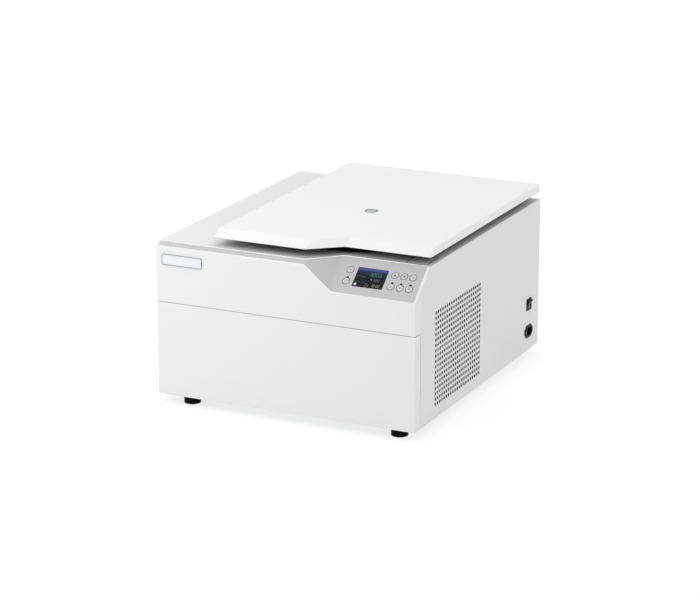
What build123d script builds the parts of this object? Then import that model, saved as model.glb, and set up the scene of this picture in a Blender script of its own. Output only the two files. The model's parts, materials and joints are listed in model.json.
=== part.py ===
"""Bench-top refrigerated microplate centrifuge.

X runs to the right, Y to the rear and Z up, in millimetres. The origin is on the floor under the
centre of the cabinet. Every piece is a separate solid in its own STEP file in parts/.
"""

from build123d import *
import os
from math import cos, hypot, radians, sin, sqrt, tan

# ---------------------------------------------------------------- driving dimensions
# Cabinet
cabinet_width = 530.0
cabinet_depth = 600.0
cabinet_height = 297.4       # underside of the base to the top of the deck
foot_height = 19.5
foot_radius = 16.0
foot_from_left = 55.0
foot_from_right = 44.0
foot_from_end = 31.5
skin = 3.0                   # wall of every outer cover
corner_radius = 1.5          # upright front corners
rear_corner_radius = 1.0
deck_edge_radius = 2.2
band_edge_radius = 3.2       # rounded lower rim of the sloping band
wrap = 24.0                  # how far the front covers reach round the corners
seam = 1.4                   # gap that shows between two covers
cover_height = 182.0         # base to the seam over the lower front cover
tongue = 12.0                # reach of the hidden lips behind the seams

# Sloping front band, which steps down from a narrow strip to a deep panel
band_angle = 39.7            # degrees above the horizontal
strip_drop = 7.7             # deck to the lower edge of the narrow strip
panel_drop = 52.7            # deck to the lower edge of the deep panel
step_start = 222.5           # right side to the upper end of the step, on the front face
step_end = 168.5             # right side to the lower end of the step
step_lean = 4.0              # sideways lean of the step's folds over the band's depth
step_radius = 17.0           # rounding of the step's folds

# Grey inlay on the band
inlay_thickness = 1.2
inlay_sink = 0.3
inlay_rim_side = 4.8
inlay_rim_lower = 1.8
inlay_rim_upper = 0.8

# Controls: distances from the right side, and heights measured up the band
key_radius = 6.3
key_gap = 0.3
key_proud = 0.5              # keycap above the inlay
key_travel = 0.4
key_pitch = 18.0
key_last_column = 23.5
key_first_column = 148.3
key_lower_row = 28.9
key_upper_row = 54.2
key_stem = 4.4               # side of the square stem
led_radius = 1.6
led_sides = 12
led_row = 37.2
display_width = 60.2
display_height = 42.4
display_from_right = 104.3
display_row = 41.3
display_frame = 4.5          # module body beyond the visible glass
board_depth = 8.0            # band surface to the top of the control board
board_thickness = 1.6
board_width = 150.0
board_tall = 56.0
board_from_right = 82.0
board_post = 6.0             # side of the posts that carry the board
board_post_inset = 4.0

# Ventilation grille in the right side
vent_columns = 21
vent_rows = 18
vent_column_pitch = 10.23
vent_row_pitch = 10.33
vent_hole = 5.1              # side of each square opening
vent_from_front = 194.5      # front face to the grille's centre
vent_height = 114.7          # base to the grille's centre
louvre_length = 80.0         # slots in the rear cover
louvre_tall = 5.0
louvre_pitch = 12.0
louvre_count = 6
louvre_from_left = 75.0
louvre_height = 110.0

# Power switch and mains inlet in the right side
switch_from_rear = 52.4
switch_height = 95.0
switch_width = 23.0
switch_tall = 23.5
switch_flange = 2.0
switch_corner = 2.0
switch_rim = 1.5             # flange beyond the rocker's opening
switch_lip = 0.8             # flange beyond the panel's cut-out
switch_depth = 20.0
rocker_throw = 24.0          # degrees from off to on
rocker_side_gap = 0.6
rocker_crease = 4.2          # pivot to the middle of the rocker's face
rocker_tip = 8.8
rocker_waist = 9.6
rocker_shoulder = 1.0
rocker_bottom_half = 7.0
rocker_bottom = 3.0
pivot_depth = 2.1
pivot_radius = 1.5
pivot_length = 1.0
rocker_well = 12.0           # depth of the opening round the rocker
inlet_from_rear = 52.6
inlet_height = 39.4
inlet_width = 38.0
inlet_tall = 24.5
inlet_flange = 2.2
inlet_depth = 24.0
socket_width = 24.0
socket_tall = 16.4
socket_depth = 16.0
socket_chamfer = 4.0
blade_length = 11.4
blade_offset = 7.0
blade_width = 2.0
ear_chamfer = 8.0
inlet_screw_radius = 2.6
inlet_screw_head = 0.8
screw_sides = 12
inlet_screw_spacing = 31.5
cover_screw_radius = 3.5
cover_screw_head = 2.0
cover_screw_inset = 14.0

# Lid
lid_gap = 15.7               # deck to the underside of the lid
lid_thickness = 14.6
lid_wall = 3.0
lid_rear_overhang = 0.6
lid_side_margin = 22.0       # gasket to the lid's left side
lid_front_set_back = 9.4     # crest of the strip to the lid's lower front edge
lid_rake = 19.3              # lean of the lid's front face over its height
lid_side_draft = 1.2
lid_step_rise = 47.5         # front to back size of the step in the lid's front
lid_step_run = 57.8
lid_step_shift = 7.0         # lid's step to the left of the crest's step
lid_step_drift = 4.0         # the step's move to the right over the lid's height
lid_edge_radius = 2.2
lid_corner_radius = 4.5
liner_drop = 4.0             # inner pan below the lid shell
liner_inset = 18.0
liner_rear_inset = 4.0
liner_ledge = 8.0            # inner pan's edge on the shell
boss_drop = 4.5              # round boss of the pan over the chamber
boss_clearance = 5.0         # boss to the bowl's wall
armour_thickness = 2.0
port_radius = 10.0
port_rim = 3.0
port_proud = 0.6
port_margin = 1.5            # glass to the opening in the walls, under the trim ring
port_sides = 12

# Deck and latch
deck_bore_gap = 1.5
access_width = 41.0          # small plate let into the deck's front corner
access_from_right = 10.5
access_length = 52.0
access_set_back = 6.5
access_depth = 2.0
access_gap = 0.5
striker_from_right = 300.0
striker_to_gasket = 9.0
striker_thickness = 4.0
striker_width = 16.0
striker_foot = 26.0
striker_foot_thickness = 2.5
striker_corner = 5.0
slot_margin = 3.0
bolt_radius = 4.5
bolt_length = 40.0
bolt_drop = 15.0             # underside of the deck to the bolt's axis
bolt_play = 1.0
bolt_set_back = 0.5          # unlocked bolt to the striker's pocket
bolt_chamfer = 1.0
latch_height = 32.0
latch_reach = 42.0           # housing to the left of the striker's pocket
latch_wall = 10.0
latch_cheek = 3.0
latch_floor = 3.0
latch_end = 2.0              # wall that closes the bolt's bore
striker_below_bolt = 11.0

# Hinges
hinge_axis_from_rear = 8.0
hinge_axis_height = 9.6      # above the deck
hinge_inset_left = 64.0      # lid's left side to the left hinge
hinge_inset_right = 75.0
knuckle_radius = 5.0
knuckle_length = 13.0
leaf_length = 22.0
hinge_gap = 0.3
pin_radius = 2.5
pin_clearance = 0.05
bracket_foot = 2.5           # thickness of the foot under the knuckles
bracket_depth = 20.0
bracket_chamfer = 3.0
leaf_reach = 24.0
leaf_plate = 3.0
leaf_gap = 1.0               # wide part of the leaf to the knuckles
leaf_notch_margin = 4.0      # inner pan clear of the hinge

# Chamber
bowl_radius = 165.0
bowl_depth = 148.9
bowl_wall = 1.5
bowl_corner = 14.0
bowl_flange = 7.5
seal_gap = 0.3
seal_radius = 14.0
seal_lip = 3.0
seal_height = 5.0
seal_sides = 24
jacket_wall = 23.3
jacket_floor = 14.0
jacket_sides = 16
jacket_side_gap = 20.0       # insulation to the right cover
jacket_seal_gap = 6.0
gasket_width = 9.0
gasket_taper = 2.0
gasket_gap = 0.3             # gasket to the lid's pan
front_land = 22.0            # crest of the panel to the gasket

# Rotor and plate carriers
plate_length = 127.76        # footprint of a microplate
plate_width = 85.48
plate_play = 1.0
carrier_end_wall = 3.0
carrier_side_wall = 2.5
carrier_floor = 2.0
carrier_depth = 50.0         # trunnion axis down to the carrier's floor
carrier_lip = 14.0
hanger_half = 12.0           # half width of a carrier's hanger at the trunnion
hanger_rise = 9.0
hanger_chamfer = 6.0
notch_length = 40.0
notch_depth = 9.0
pin_set_back = 0.3           # pin's end inside the carrier's wall
rotor_clearance = 5.8        # swinging carrier to the bowl's wall
floor_clearance = 12.0       # swinging carrier to the bowl's floor
trunnion_radius = 4.0
trunnion_clearance = 0.08
carrier_gap = 1.0            # carrier to the yoke's rail
rail_width = 7.0
yoke_height = 16.0
yoke_corner = 6.0
yoke_end = 8.0               # rail beyond the trunnion
swing_room = 4.0             # hanging carrier to the yoke's crossbar
bay_chamfer = 9.0
pocket_wall = 6.0
pocket_floor = 4.0
hub_rise = 6.0
hub_drop = 14.0
hub_radius = 24.0
spindle_radius = 8.0
stud_radius = 5.0
stud_height = 12.0
nut_radius = 15.0
nut_height = 20.0
nut_sides = 12
nut_chamfer = 2.0

# Drive and cooling
tray_sheet = 2.0
tray_flange = 14.0
damper_radius = 12.0
damper_height = 25.0
damper_inset = 3.0
mount_sides = 16
mount_plate_size = 170.0
mount_plate_thickness = 5.0
mount_plate_corner = 15.0
motor_radius = 55.0
motor_gap = 8.0              # motor's shoulder to the insulation
motor_chamfer = 6.0
neck_radius = 22.0
neck_gap = 1.0
spindle_lift = 20.0          # spindle's lower end over the mount plate
spindle_end_gap = 1.0
fit = 0.2                    # small assembly clearance inside the cabinet
bay_gap = 6.0                # compressor to what stands beside it
compressor_from_rear = 240.0
compressor_top_gap = 125.0   # deck to the compressor's top
compressor_plate = 3.0
compressor_foot = 30.0       # base plate in front of and behind the can
compressor_dome = 16.0
grommet_radius = 9.0
grommet_height = 6.0
condenser_length = 150.0
condenser_depth = 30.0
condenser_gap = 4.0
condenser_top = 128.0        # base to the condenser's top
header_width = 8.0
rail_height = 6.0
fin_pitch = 9.0
fin_count = 15
fin_depth = 24.0
fin_thickness = 1.0
fan_size = 120.0
fan_depth = 25.0
fan_wall = 3.0
fan_to_condenser = 12.0
fan_gap = 0.4
fan_hub = 20.0
fan_hub_sides = 14
fan_pin = 3.0
fan_pin_length = 8.0
spider_width = 6.0
spider_thickness = 3.0
blade_count = 7
blade_angle = 35.0
blade_chord = 22.0
blade_thickness = 1.6
blade_root = 2.0             # blade's sinking into the hub
blade_tip_gap = 3.0

# Power board in the rear bay
power_from_right = 215.0
power_width = 180.0
power_part_pitch = 60.0
standoff = 8.0
sink_pitch = 6.0
sink_fins = 6
sink_fin = 2.0
sink_height = 35.0
capacitor_height = 40.0
transformer_width = 36.0
transformer_height = 30.0

# ---------------------------------------------------------------- levels and places
half_width = cabinet_width / 2
inner_half = half_width - skin
front = -cabinet_depth / 2
rear = cabinet_depth / 2
base = foot_height
deck_top = base + cabinet_height
deck_under = deck_top - skin
tray_top = base + tray_sheet
seam_height = base + cover_height

slope = radians(band_angle)
panel_run = panel_drop / tan(slope)
panel_crest = front + panel_run
strip_crest = front + strip_drop / tan(slope)
band_direction = Vector(-step_lean, panel_run, panel_drop)
skin_drop = skin / cos(slope)          # height between the band's two faces
sink_drop = inlay_sink / cos(slope)
inlay_drop = (inlay_sink + inlay_thickness) / cos(slope)
side_reach = half_width + 20.0
headroom = 80.0

jacket_radius = bowl_radius + bowl_wall + fit + jacket_wall
bowl_outer = bowl_radius + bowl_wall
flange_radius = bowl_outer + bowl_flange
gasket_inner = flange_radius + fit
gasket_outer = gasket_inner + gasket_width
bowl_x = inner_half - jacket_side_gap - jacket_radius
bowl_y = panel_crest + front_land + gasket_outer
bowl_centre = (bowl_x, bowl_y)
bowl_floor = deck_top - bowl_depth
jacket_bottom = bowl_floor - bowl_wall - fit - jacket_floor

lid_bottom = deck_top + lid_gap
lid_top = lid_bottom + lid_thickness
lid_left = bowl_x - gasket_outer - lid_side_margin
lid_right = half_width
lid_rear = rear + lid_rear_overhang
lid_front = strip_crest + lid_front_set_back
lid_step_x = half_width - step_start - lid_step_shift

carrier_half_length = (plate_length + plate_play) / 2 + carrier_end_wall
carrier_half_width = (plate_width + plate_play) / 2 + carrier_side_wall
carrier_bottom = carrier_depth + carrier_floor
swing_radius = hypot(carrier_half_width, carrier_bottom)
trunnion_x = sqrt((bowl_radius - rotor_clearance) ** 2 - carrier_half_length ** 2) - swing_radius
trunnion_z = bowl_floor + floor_clearance + swing_radius
rail_inner = carrier_half_length + carrier_gap
rail_outer = rail_inner + rail_width
yoke_bottom = trunnion_z - yoke_height / 2
yoke_top = trunnion_z + yoke_height / 2
hub_top = yoke_top + hub_rise
pin_inner = carrier_half_length - carrier_end_wall + pin_set_back

bowl_axis = Axis((bowl_x, bowl_y, 0), (0, 0, 1))
bowl_section = Plane(origin=(bowl_x, bowl_y, 0), x_dir=(1, 0, 0), z_dir=(0, -1, 0))
panel = Plane(
    origin=(half_width, front, deck_top - panel_drop),
    x_dir=(1, 0, 0),
    z_dir=(0, -sin(slope), cos(slope)),
)
switch_face = Plane(
    origin=(half_width, rear - switch_from_rear, base + switch_height),
    x_dir=(0, 1, 0),
    z_dir=(1, 0, 0),
)
inlet_face = Plane(
    origin=(half_width, rear - inlet_from_rear, base + inlet_height),
    x_dir=(0, 1, 0),
    z_dir=(1, 0, 0),
)

key_places = {
    "key_left_upper": (-key_first_column, key_upper_row),
    "key_left_lower": (-key_first_column, key_lower_row),
    "key_upper_1": (-key_last_column - 2 * key_pitch, key_upper_row),
    "key_upper_2": (-key_last_column - key_pitch, key_upper_row),
    "key_upper_3": (-key_last_column, key_upper_row),
    "key_lower_1": (-key_last_column - 2 * key_pitch, key_lower_row),
    "key_lower_2": (-key_last_column - key_pitch, key_lower_row),
    "key_lower_3": (-key_last_column, key_lower_row),
}
led_places = [(place[0], led_row) for place in key_places.values() if place[1] == key_lower_row]
display_place = (-display_from_right, display_row)
board_place = (-board_from_right, display_row)
key_hole = key_radius + key_gap
led_hole = led_radius + fit

os.makedirs("parts", exist_ok=True)


def save(piece, name):
    """Label a finished piece and write it as its own STEP file."""
    piece.label = name
    export_step(piece, f"parts/{name}.step")


def above_band(drop, start=-20.0):
    """Space above the stepped band when the band is lowered by drop.

    The step is one profile drawn on the front face and carried straight up the slope, so its
    folds stay parallel from the lower edge to the crest.
    """
    corner = Vector(0, front, deck_top - drop) + band_direction.normalized() * start
    with BuildPart() as space:
        with BuildSketch(Plane(origin=corner, x_dir=(1, 0, 0), z_dir=(0, -1, 0))):
            with BuildLine():
                FilletPolyline(
                    (-side_reach, -strip_drop),
                    (half_width - step_start, -strip_drop),
                    (half_width - step_end, -panel_drop),
                    (side_reach, -panel_drop),
                    radius=step_radius,
                )
                Polyline(
                    (side_reach, -panel_drop),
                    (side_reach, headroom),
                    (-side_reach, headroom),
                    (-side_reach, -strip_drop),
                )
            make_face()
        extrude(amount=band_direction.length + headroom - start, dir=band_direction)
    return space.part


def inlay_space(drop):
    """Space above the lowered band that lies inside the rim of the white moulding."""
    floor_level = deck_top - 2 * panel_drop
    ceiling = deck_top - inlay_rim_upper * sin(slope)
    with BuildPart() as space:
        add(above_band(drop, inlay_rim_lower))
        with BuildSketch(Plane.XY.offset(floor_level)):
            Rectangle(cabinet_width - 2 * inlay_rim_side, 2 * cabinet_depth)
        extrude(amount=ceiling - floor_level, mode=Mode.INTERSECT)
    return space.part


def front_outline(reach, radius=0):
    """Outline of the cabinet's front, as deep as reach, with rounded corners."""
    with BuildSketch() as outline:
        with Locations((0, front + reach / 2)):
            Rectangle(cabinet_width, reach)
        if radius:
            fillet(outline.vertices().group_by(Axis.Y)[0], radius)
    return outline.sketch


def front_section(reach, radius=0):
    """Section of a cover that spans the front and wraps both corners."""
    with BuildSketch() as section:
        add(front_outline(reach, radius))
        with Locations((0, front + skin + reach / 2)):
            Rectangle(cabinet_width - 2 * skin, reach, mode=Mode.SUBTRACT)
    return section.sketch


# ---------------------------------------------------------------- front covers
with BuildPart() as front_fascia:
    add(above_band(skin_drop))
    with BuildSketch(Plane.XY.offset(seam_height)):
        add(front_outline(2 * panel_run))
    extrude(amount=deck_top - seam_height, mode=Mode.INTERSECT)
    with BuildSketch(Plane.XY.offset(seam_height + seam / 2)):
        add(front_section(wrap))
    extrude(amount=deck_under - seam_height - seam / 2)
    # lip that hangs behind the seam over the lower cover
    with BuildSketch(Plane.XY.offset(seam_height - tongue)):
        with Locations((0, front + 1.5 * skin)):
            Rectangle(2 * (inner_half - fit), skin)
    extrude(amount=2 * tongue)
    add(above_band(0), mode=Mode.SUBTRACT)
    lower_rim = front_fascia.edges().filter_by(
        lambda edge: edge.center().Y < front + 0.01 and edge.center().Z > seam_height + tongue
        and abs(edge.center().X) < half_width - corner_radius
    )
    fillet(lower_rim, band_edge_radius)
    with BuildSketch(Plane.XY.offset(seam_height - tongue)):
        add(front_outline(2 * panel_run, corner_radius))
    extrude(amount=deck_top - seam_height + tongue, mode=Mode.INTERSECT)
    add(inlay_space(inlay_drop), mode=Mode.SUBTRACT)
    # posts under the deep panel that carry the control board
    with BuildSketch(panel.offset(-board_depth)):
        with Locations(board_place):
            with GridLocations(board_width - 2 * board_post_inset, board_tall - 2 * board_post_inset, 2, 2):
                Rectangle(board_post, board_post)
    extrude(amount=board_depth - skin)
    with BuildSketch(panel):
        with Locations(*key_places.values()):
            Rectangle(2 * key_hole, 2 * key_hole)
        with Locations(*led_places):
            Rectangle(2 * led_hole, 2 * led_hole)
        with Locations(display_place):
            Rectangle(display_width + 2 * fit, display_height + 2 * fit)
    extrude(amount=-board_depth, mode=Mode.SUBTRACT)
save(front_fascia.part, "front_fascia")

with BuildPart() as control_inlay:
    add(inlay_space(inlay_drop))
    add(above_band(sink_drop), mode=Mode.SUBTRACT)
    with BuildSketch(panel):
        with Locations(*key_places.values()):
            Circle(key_hole)
        with Locations(*led_places):
            RegularPolygon(led_hole, led_sides)
        with Locations(display_place):
            Rectangle(display_width + 2 * fit, display_height + 2 * fit)
    extrude(amount=-board_depth, mode=Mode.SUBTRACT)
save(control_inlay.part, "control_inlay")

with BuildPart() as lower_front_cover:
    with BuildSketch(Plane.XY.offset(base)):
        add(front_section(wrap - seam, corner_radius))
    extrude(amount=cover_height - seam / 2)
save(lower_front_cover.part, "lower_front_cover")

# ---------------------------------------------------------------- controls
cap_bottom = -2.0            # below the band's surface
stem_bottom = -6.4
switch_side = 6.0
chip_place = (-105.0, display_row)
chip_side = 18.0
plug_place = (-60.0, display_row - 10.0)
plug_width = 30.0
plug_tall = 8.0
chip_height = 5.0
for key_name, key_place in key_places.items():
    with BuildPart() as keycap:
        with BuildSketch(panel.offset(cap_bottom)):
            with Locations(key_place):
                Circle(key_radius)
        extrude(amount=key_proud - inlay_sink - cap_bottom)
        with BuildSketch(panel.offset(stem_bottom)):
            with Locations(key_place):
                Rectangle(key_stem, key_stem)
        extrude(amount=cap_bottom - stem_bottom)
    save(keycap.part, key_name)

with BuildPart() as indicator_leds:
    with BuildSketch(panel.offset(-board_depth)):
        with Locations(*led_places):
            RegularPolygon(led_radius, led_sides)
    extrude(amount=board_depth - inlay_sink)
save(indicator_leds.part, "indicator_leds")

with BuildPart() as display_module:
    with BuildSketch(panel.offset(-board_depth)):
        with Locations(display_place):
            Rectangle(display_width + 2 * display_frame, display_height + 2 * display_frame)
    extrude(amount=board_depth - skin)
    with BuildSketch(panel.offset(-skin)):
        with Locations(display_place):
            Rectangle(display_width, display_height)
    extrude(amount=skin - inlay_sink - fit)
save(display_module.part, "display_module")

switch_top = stem_bottom - key_travel - fit
with BuildPart() as control_board:
    with BuildSketch(panel.offset(-board_depth - board_thickness)):
        with Locations(board_place):
            Rectangle(board_width, board_tall)
    extrude(amount=board_thickness)
    # one tact switch under each key
    with BuildSketch(panel.offset(-board_depth)):
        with Locations(*key_places.values()):
            Rectangle(switch_side, switch_side)
    extrude(amount=board_depth + switch_top)
    # processor and cable plug on the back
    with BuildSketch(panel.offset(-board_depth - board_thickness)):
        with Locations(chip_place):
            Rectangle(chip_side, chip_side)
        with Locations(plug_place):
            Rectangle(plug_width, plug_tall)
    extrude(amount=-chip_height)
save(control_board.part, "control_board")

# ---------------------------------------------------------------- side, rear and base covers
panel_front = front + wrap
panel_rear = rear - skin


def side_cover(side, name):
    """One side cover with a lip that backs the front corner seams."""
    with BuildPart() as cover:
        with BuildSketch(Plane.XY.offset(base)):
            with Locations((side * (half_width - skin / 2), (panel_front + panel_rear) / 2)):
                Rectangle(skin, panel_rear - panel_front)
        extrude(amount=cabinet_height - skin)
        lip_bottom = tray_top + tray_flange
        with BuildSketch(Plane.XY.offset(lip_bottom)):
            with Locations((side * (half_width - 1.5 * skin), panel_front)):
                Rectangle(skin, 2 * tongue)
        extrude(amount=deck_under - lip_bottom)
        add(above_band(skin_drop), mode=Mode.SUBTRACT)
        if side > 0:
            with BuildSketch(Plane.YZ.offset(half_width)):
                with Locations((front + vent_from_front, base + vent_height)):
                    with GridLocations(vent_column_pitch, vent_row_pitch, vent_columns, vent_rows):
                        Rectangle(vent_hole, vent_hole)
            extrude(amount=-2 * skin, mode=Mode.SUBTRACT)
            with BuildSketch(switch_face):
                Rectangle(switch_width - 2 * switch_lip + fit, switch_tall - 2 * switch_lip + fit)
            extrude(amount=-2 * skin, mode=Mode.SUBTRACT)
            with BuildSketch(inlet_face):
                Rectangle(socket_width + skin + 2 * fit, socket_tall + skin + 2 * fit)
            extrude(amount=-2 * skin, mode=Mode.SUBTRACT)
    save(cover.part, name)


side_cover(-1, "left_side_panel")
side_cover(1, "right_side_panel")

with BuildPart() as rear_panel:
    with BuildSketch(Plane.XY.offset(base)) as rear_outline:
        with Locations((0, rear - skin / 2)):
            Rectangle(cabinet_width, skin)
        fillet(rear_outline.vertices().group_by(Axis.Y)[-1], rear_corner_radius)
    extrude(amount=cabinet_height - skin)
    # louvre slots behind the cooling bay
    with BuildSketch(Plane.XZ.offset(-rear)):
        with Locations((louvre_from_left - half_width, base + louvre_height)):
            with GridLocations(0, louvre_pitch, 1, louvre_count):
                Rectangle(louvre_length, louvre_tall)
    extrude(amount=skin, mode=Mode.SUBTRACT)
save(rear_panel.part, "rear_panel")

with BuildPart() as base_tray:
    with BuildSketch(Plane.XY.offset(base)):
        Rectangle(2 * inner_half, cabinet_depth - 2 * skin)
    extrude(amount=tray_sheet + tray_flange)
    with BuildSketch(Plane.XY.offset(tray_top)):
        Rectangle(2 * (inner_half - tray_sheet), cabinet_depth - 2 * skin - 2 * tray_sheet)
    extrude(amount=tray_flange, mode=Mode.SUBTRACT)
save(base_tray.part, "base_tray")

foot_x = (foot_from_left - half_width, half_width - foot_from_right)
foot_y = (front + foot_from_end, rear - foot_from_end)
with BuildPart() as rubber_feet:
    with BuildSketch(Plane.XY):
        with Locations(*[(x, y) for x in foot_x for y in foot_y]):
            Circle(foot_radius)
    extrude(amount=foot_height)
save(rubber_feet.part, "rubber_feet")

# ---------------------------------------------------------------- deck
access_centre = (
    half_width - access_from_right - access_width / 2,
    panel_crest + access_set_back + access_length / 2,
)
striker_x = half_width - striker_from_right
striker_y = bowl_y - gasket_outer - striker_to_gasket
slot_length = striker_width + 2 * slot_margin
slot_width = striker_thickness + 2 * slot_margin

with BuildPart() as top_deck:
    with BuildSketch(Plane.XY.offset(deck_under)) as deck_outline:
        Rectangle(cabinet_width, cabinet_depth)
        fillet(deck_outline.vertices().group_by(Axis.Y)[-1], rear_corner_radius)
    extrude(amount=skin)
    deck_rim = top_deck.edges().group_by(Axis.Z)[-1].filter_by(
        lambda edge: edge.center().Y > front + skin
    )
    fillet(deck_rim, deck_edge_radius)
    add(above_band(skin_drop), mode=Mode.SUBTRACT)
    with BuildSketch(Plane.XY.offset(deck_top)):
        with Locations((bowl_x, bowl_y)):
            Circle(bowl_outer + deck_bore_gap)
        with Locations((striker_x, striker_y)):
            Rectangle(slot_width, slot_length)
    extrude(amount=-skin, mode=Mode.SUBTRACT)
    with BuildSketch(Plane.XY.offset(deck_top)):
        with Locations(access_centre):
            Rectangle(access_width, access_length)
    extrude(amount=-access_depth, mode=Mode.SUBTRACT)
save(top_deck.part, "top_deck")

with BuildPart() as deck_access_plate:
    with BuildSketch(Plane.XY.offset(deck_top - access_depth)):
        with Locations(access_centre):
            Rectangle(access_width - 2 * access_gap, access_length - 2 * access_gap)
    extrude(amount=access_depth)
save(deck_access_plate.part, "deck_access_plate")

# ---------------------------------------------------------------- switch and mains inlet
rocker_half = switch_width / 2 - switch_rim - rocker_side_gap
opening_half = switch_tall / 2 - switch_rim
half_throw = radians(rocker_throw / 2)
rocker_section = Plane(
    origin=(half_width - pivot_depth, rear - switch_from_rear, base + switch_height),
    x_dir=(sin(half_throw), 0, cos(half_throw)),
    z_dir=(0, 1, 0),
)

with BuildPart() as power_switch_housing:
    with BuildSketch(switch_face):
        RectangleRounded(switch_width, switch_tall, switch_corner)
    extrude(amount=switch_flange)
    with BuildSketch(switch_face):
        Rectangle(switch_width - 2 * switch_lip, switch_tall - 2 * switch_lip)
    extrude(amount=-switch_depth)
    with BuildSketch(switch_face.offset(switch_flange)):
        Rectangle(2 * (rocker_half + rocker_side_gap / 2), 2 * opening_half)
    extrude(amount=-switch_flange - rocker_well, mode=Mode.SUBTRACT)
    with BuildSketch(rocker_section):
        Circle(pivot_radius + pin_clearance)
    extrude(amount=rocker_half + pivot_length + pin_clearance, both=True, mode=Mode.SUBTRACT)
save(power_switch_housing.part, "power_switch_housing")

with BuildPart() as power_rocker:
    tip_height = rocker_crease + rocker_tip * tan(half_throw)
    with BuildSketch(rocker_section.offset(-rocker_half)):
        with BuildLine():
            Polyline(
                (0, rocker_crease),
                (rocker_tip, tip_height),
                (rocker_waist, rocker_shoulder),
                (rocker_bottom_half, -rocker_bottom),
                (-rocker_bottom_half, -rocker_bottom),
                (-rocker_waist, rocker_shoulder),
                (-rocker_tip, tip_height),
                close=True,
            )
        make_face()
    extrude(amount=2 * rocker_half)
    with BuildSketch(rocker_section):
        Circle(pivot_radius)
    extrude(amount=rocker_half + pivot_length, both=True)
save(power_rocker.part, "power_rocker")

with BuildPart() as mains_inlet:
    with BuildSketch(inlet_face) as inlet_outline:
        Rectangle(inlet_width, inlet_tall)
        chamfer(inlet_outline.vertices(), ear_chamfer)
    extrude(amount=inlet_flange)
    with BuildSketch(inlet_face):
        Rectangle(socket_width + skin, socket_tall + skin)
    extrude(amount=-inlet_depth)
    with BuildSketch(inlet_face.offset(inlet_flange)) as socket_outline:
        Rectangle(socket_width, socket_tall)
        chamfer(socket_outline.vertices().group_by(Axis.Z)[-1], socket_chamfer)
    extrude(amount=-socket_depth, mode=Mode.SUBTRACT)
    with BuildSketch(inlet_face.offset(inlet_flange - socket_depth)):
        with Locations((-blade_offset, -blade_width), (blade_offset, -blade_width), (0, blade_width)):
            Rectangle(blade_width, 2 * blade_width)
    extrude(amount=blade_length)
save(mains_inlet.part, "mains_inlet")

with BuildPart() as inlet_screws:
    with BuildSketch(inlet_face.offset(inlet_flange)):
        with GridLocations(inlet_screw_spacing, 0, 2, 1):
            RegularPolygon(inlet_screw_radius, screw_sides)
    extrude(amount=inlet_screw_head)
save(inlet_screws.part, "inlet_screws")

with BuildPart() as panel_screws:
    with BuildSketch(Plane.XZ.offset(-rear)):
        with Locations((0, base + (cabinet_height - skin) / 2)):
            with GridLocations(
                cabinet_width - 2 * cover_screw_inset, cabinet_height - 2 * cover_screw_inset, 2, 2
            ):
                RegularPolygon(cover_screw_radius, 6)
    extrude(amount=-cover_screw_head)
save(panel_screws.part, "panel_screws")


# ---------------------------------------------------------------- lid
def lid_corners(height, inset=0.0, rear_inset=None):
    """Corners of the lid's outline in plan at a height over its underside, drawn in by inset."""
    share = height / lid_thickness
    side = share * lid_side_draft + inset
    back = lid_rear - (inset if rear_inset is None else rear_inset)
    front_left = lid_front + share * lid_rake + inset
    half_turn = lid_step_rise / (lid_step_run + hypot(lid_step_run, lid_step_rise))
    step_x = lid_step_x + share * lid_step_drift - inset * half_turn
    return [
        (lid_left + side, front_left),
        (step_x, front_left),
        (step_x + lid_step_run, front_left + lid_step_rise),
        (lid_right - side, front_left + lid_step_rise),
        (lid_right - side, back),
        (lid_left + side, back),
    ]


port_hole = port_radius + port_margin
liner_bottom = lid_bottom - liner_drop
boss_bottom = liner_bottom - boss_drop
with BuildPart() as lid_shell:
    for level in (0.0, lid_thickness):
        with BuildSketch(Plane.XY.offset(lid_bottom + level)):
            with BuildLine():
                FilletPolyline(*lid_corners(level), radius=lid_corner_radius, close=True)
            make_face()
    loft(ruled=True)
    fillet(lid_shell.edges().group_by(Axis.Z)[-1], lid_edge_radius)
    for level in (lid_wall, lid_thickness - lid_wall):
        with BuildSketch(Plane.XY.offset(lid_bottom + level)):
            with BuildLine():
                Polyline(*lid_corners(level, lid_wall), close=True)
            make_face()
    loft(ruled=True, mode=Mode.SUBTRACT)
    with BuildSketch(Plane.XY.offset(lid_bottom)):
        with BuildLine():
            Polyline(*lid_corners(0, liner_inset + liner_ledge), close=True)
        make_face()
    extrude(amount=lid_wall, mode=Mode.SUBTRACT)
    with BuildSketch(Plane.XY.offset(lid_bottom)):
        with Locations(bowl_centre):
            RegularPolygon(port_hole, port_sides)
    extrude(amount=lid_thickness, mode=Mode.SUBTRACT)
save(lid_shell.part, "lid_shell")

hinge_y = rear - hinge_axis_from_rear
hinge_z = deck_top + hinge_axis_height
hinge_places = (lid_left + hinge_inset_left, lid_right - hinge_inset_right)
hinge_half = leaf_length / 2 + hinge_gap + knuckle_length

with BuildPart() as lid_liner:
    with BuildSketch(Plane.XY.offset(liner_bottom)):
        with BuildLine():
            Polyline(*lid_corners(0, liner_inset, liner_rear_inset), close=True)
        make_face()
        for place in hinge_places:
            with Locations((place, hinge_y)):
                Rectangle(
                    2 * (hinge_half + leaf_notch_margin),
                    2 * (leaf_reach + knuckle_radius + 2 * leaf_notch_margin),
                    mode=Mode.SUBTRACT,
                )
    extrude(amount=liner_drop)
    with BuildSketch(Plane.XY.offset(liner_bottom)):
        with Locations(bowl_centre):
            Circle(bowl_radius - boss_clearance)
    extrude(amount=-boss_drop)
    with BuildSketch(Plane.XY.offset(lid_bottom)):
        with Locations(bowl_centre):
            RegularPolygon(port_hole, port_sides)
    extrude(amount=-liner_drop - boss_drop, mode=Mode.SUBTRACT)
save(lid_liner.part, "lid_liner")

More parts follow.
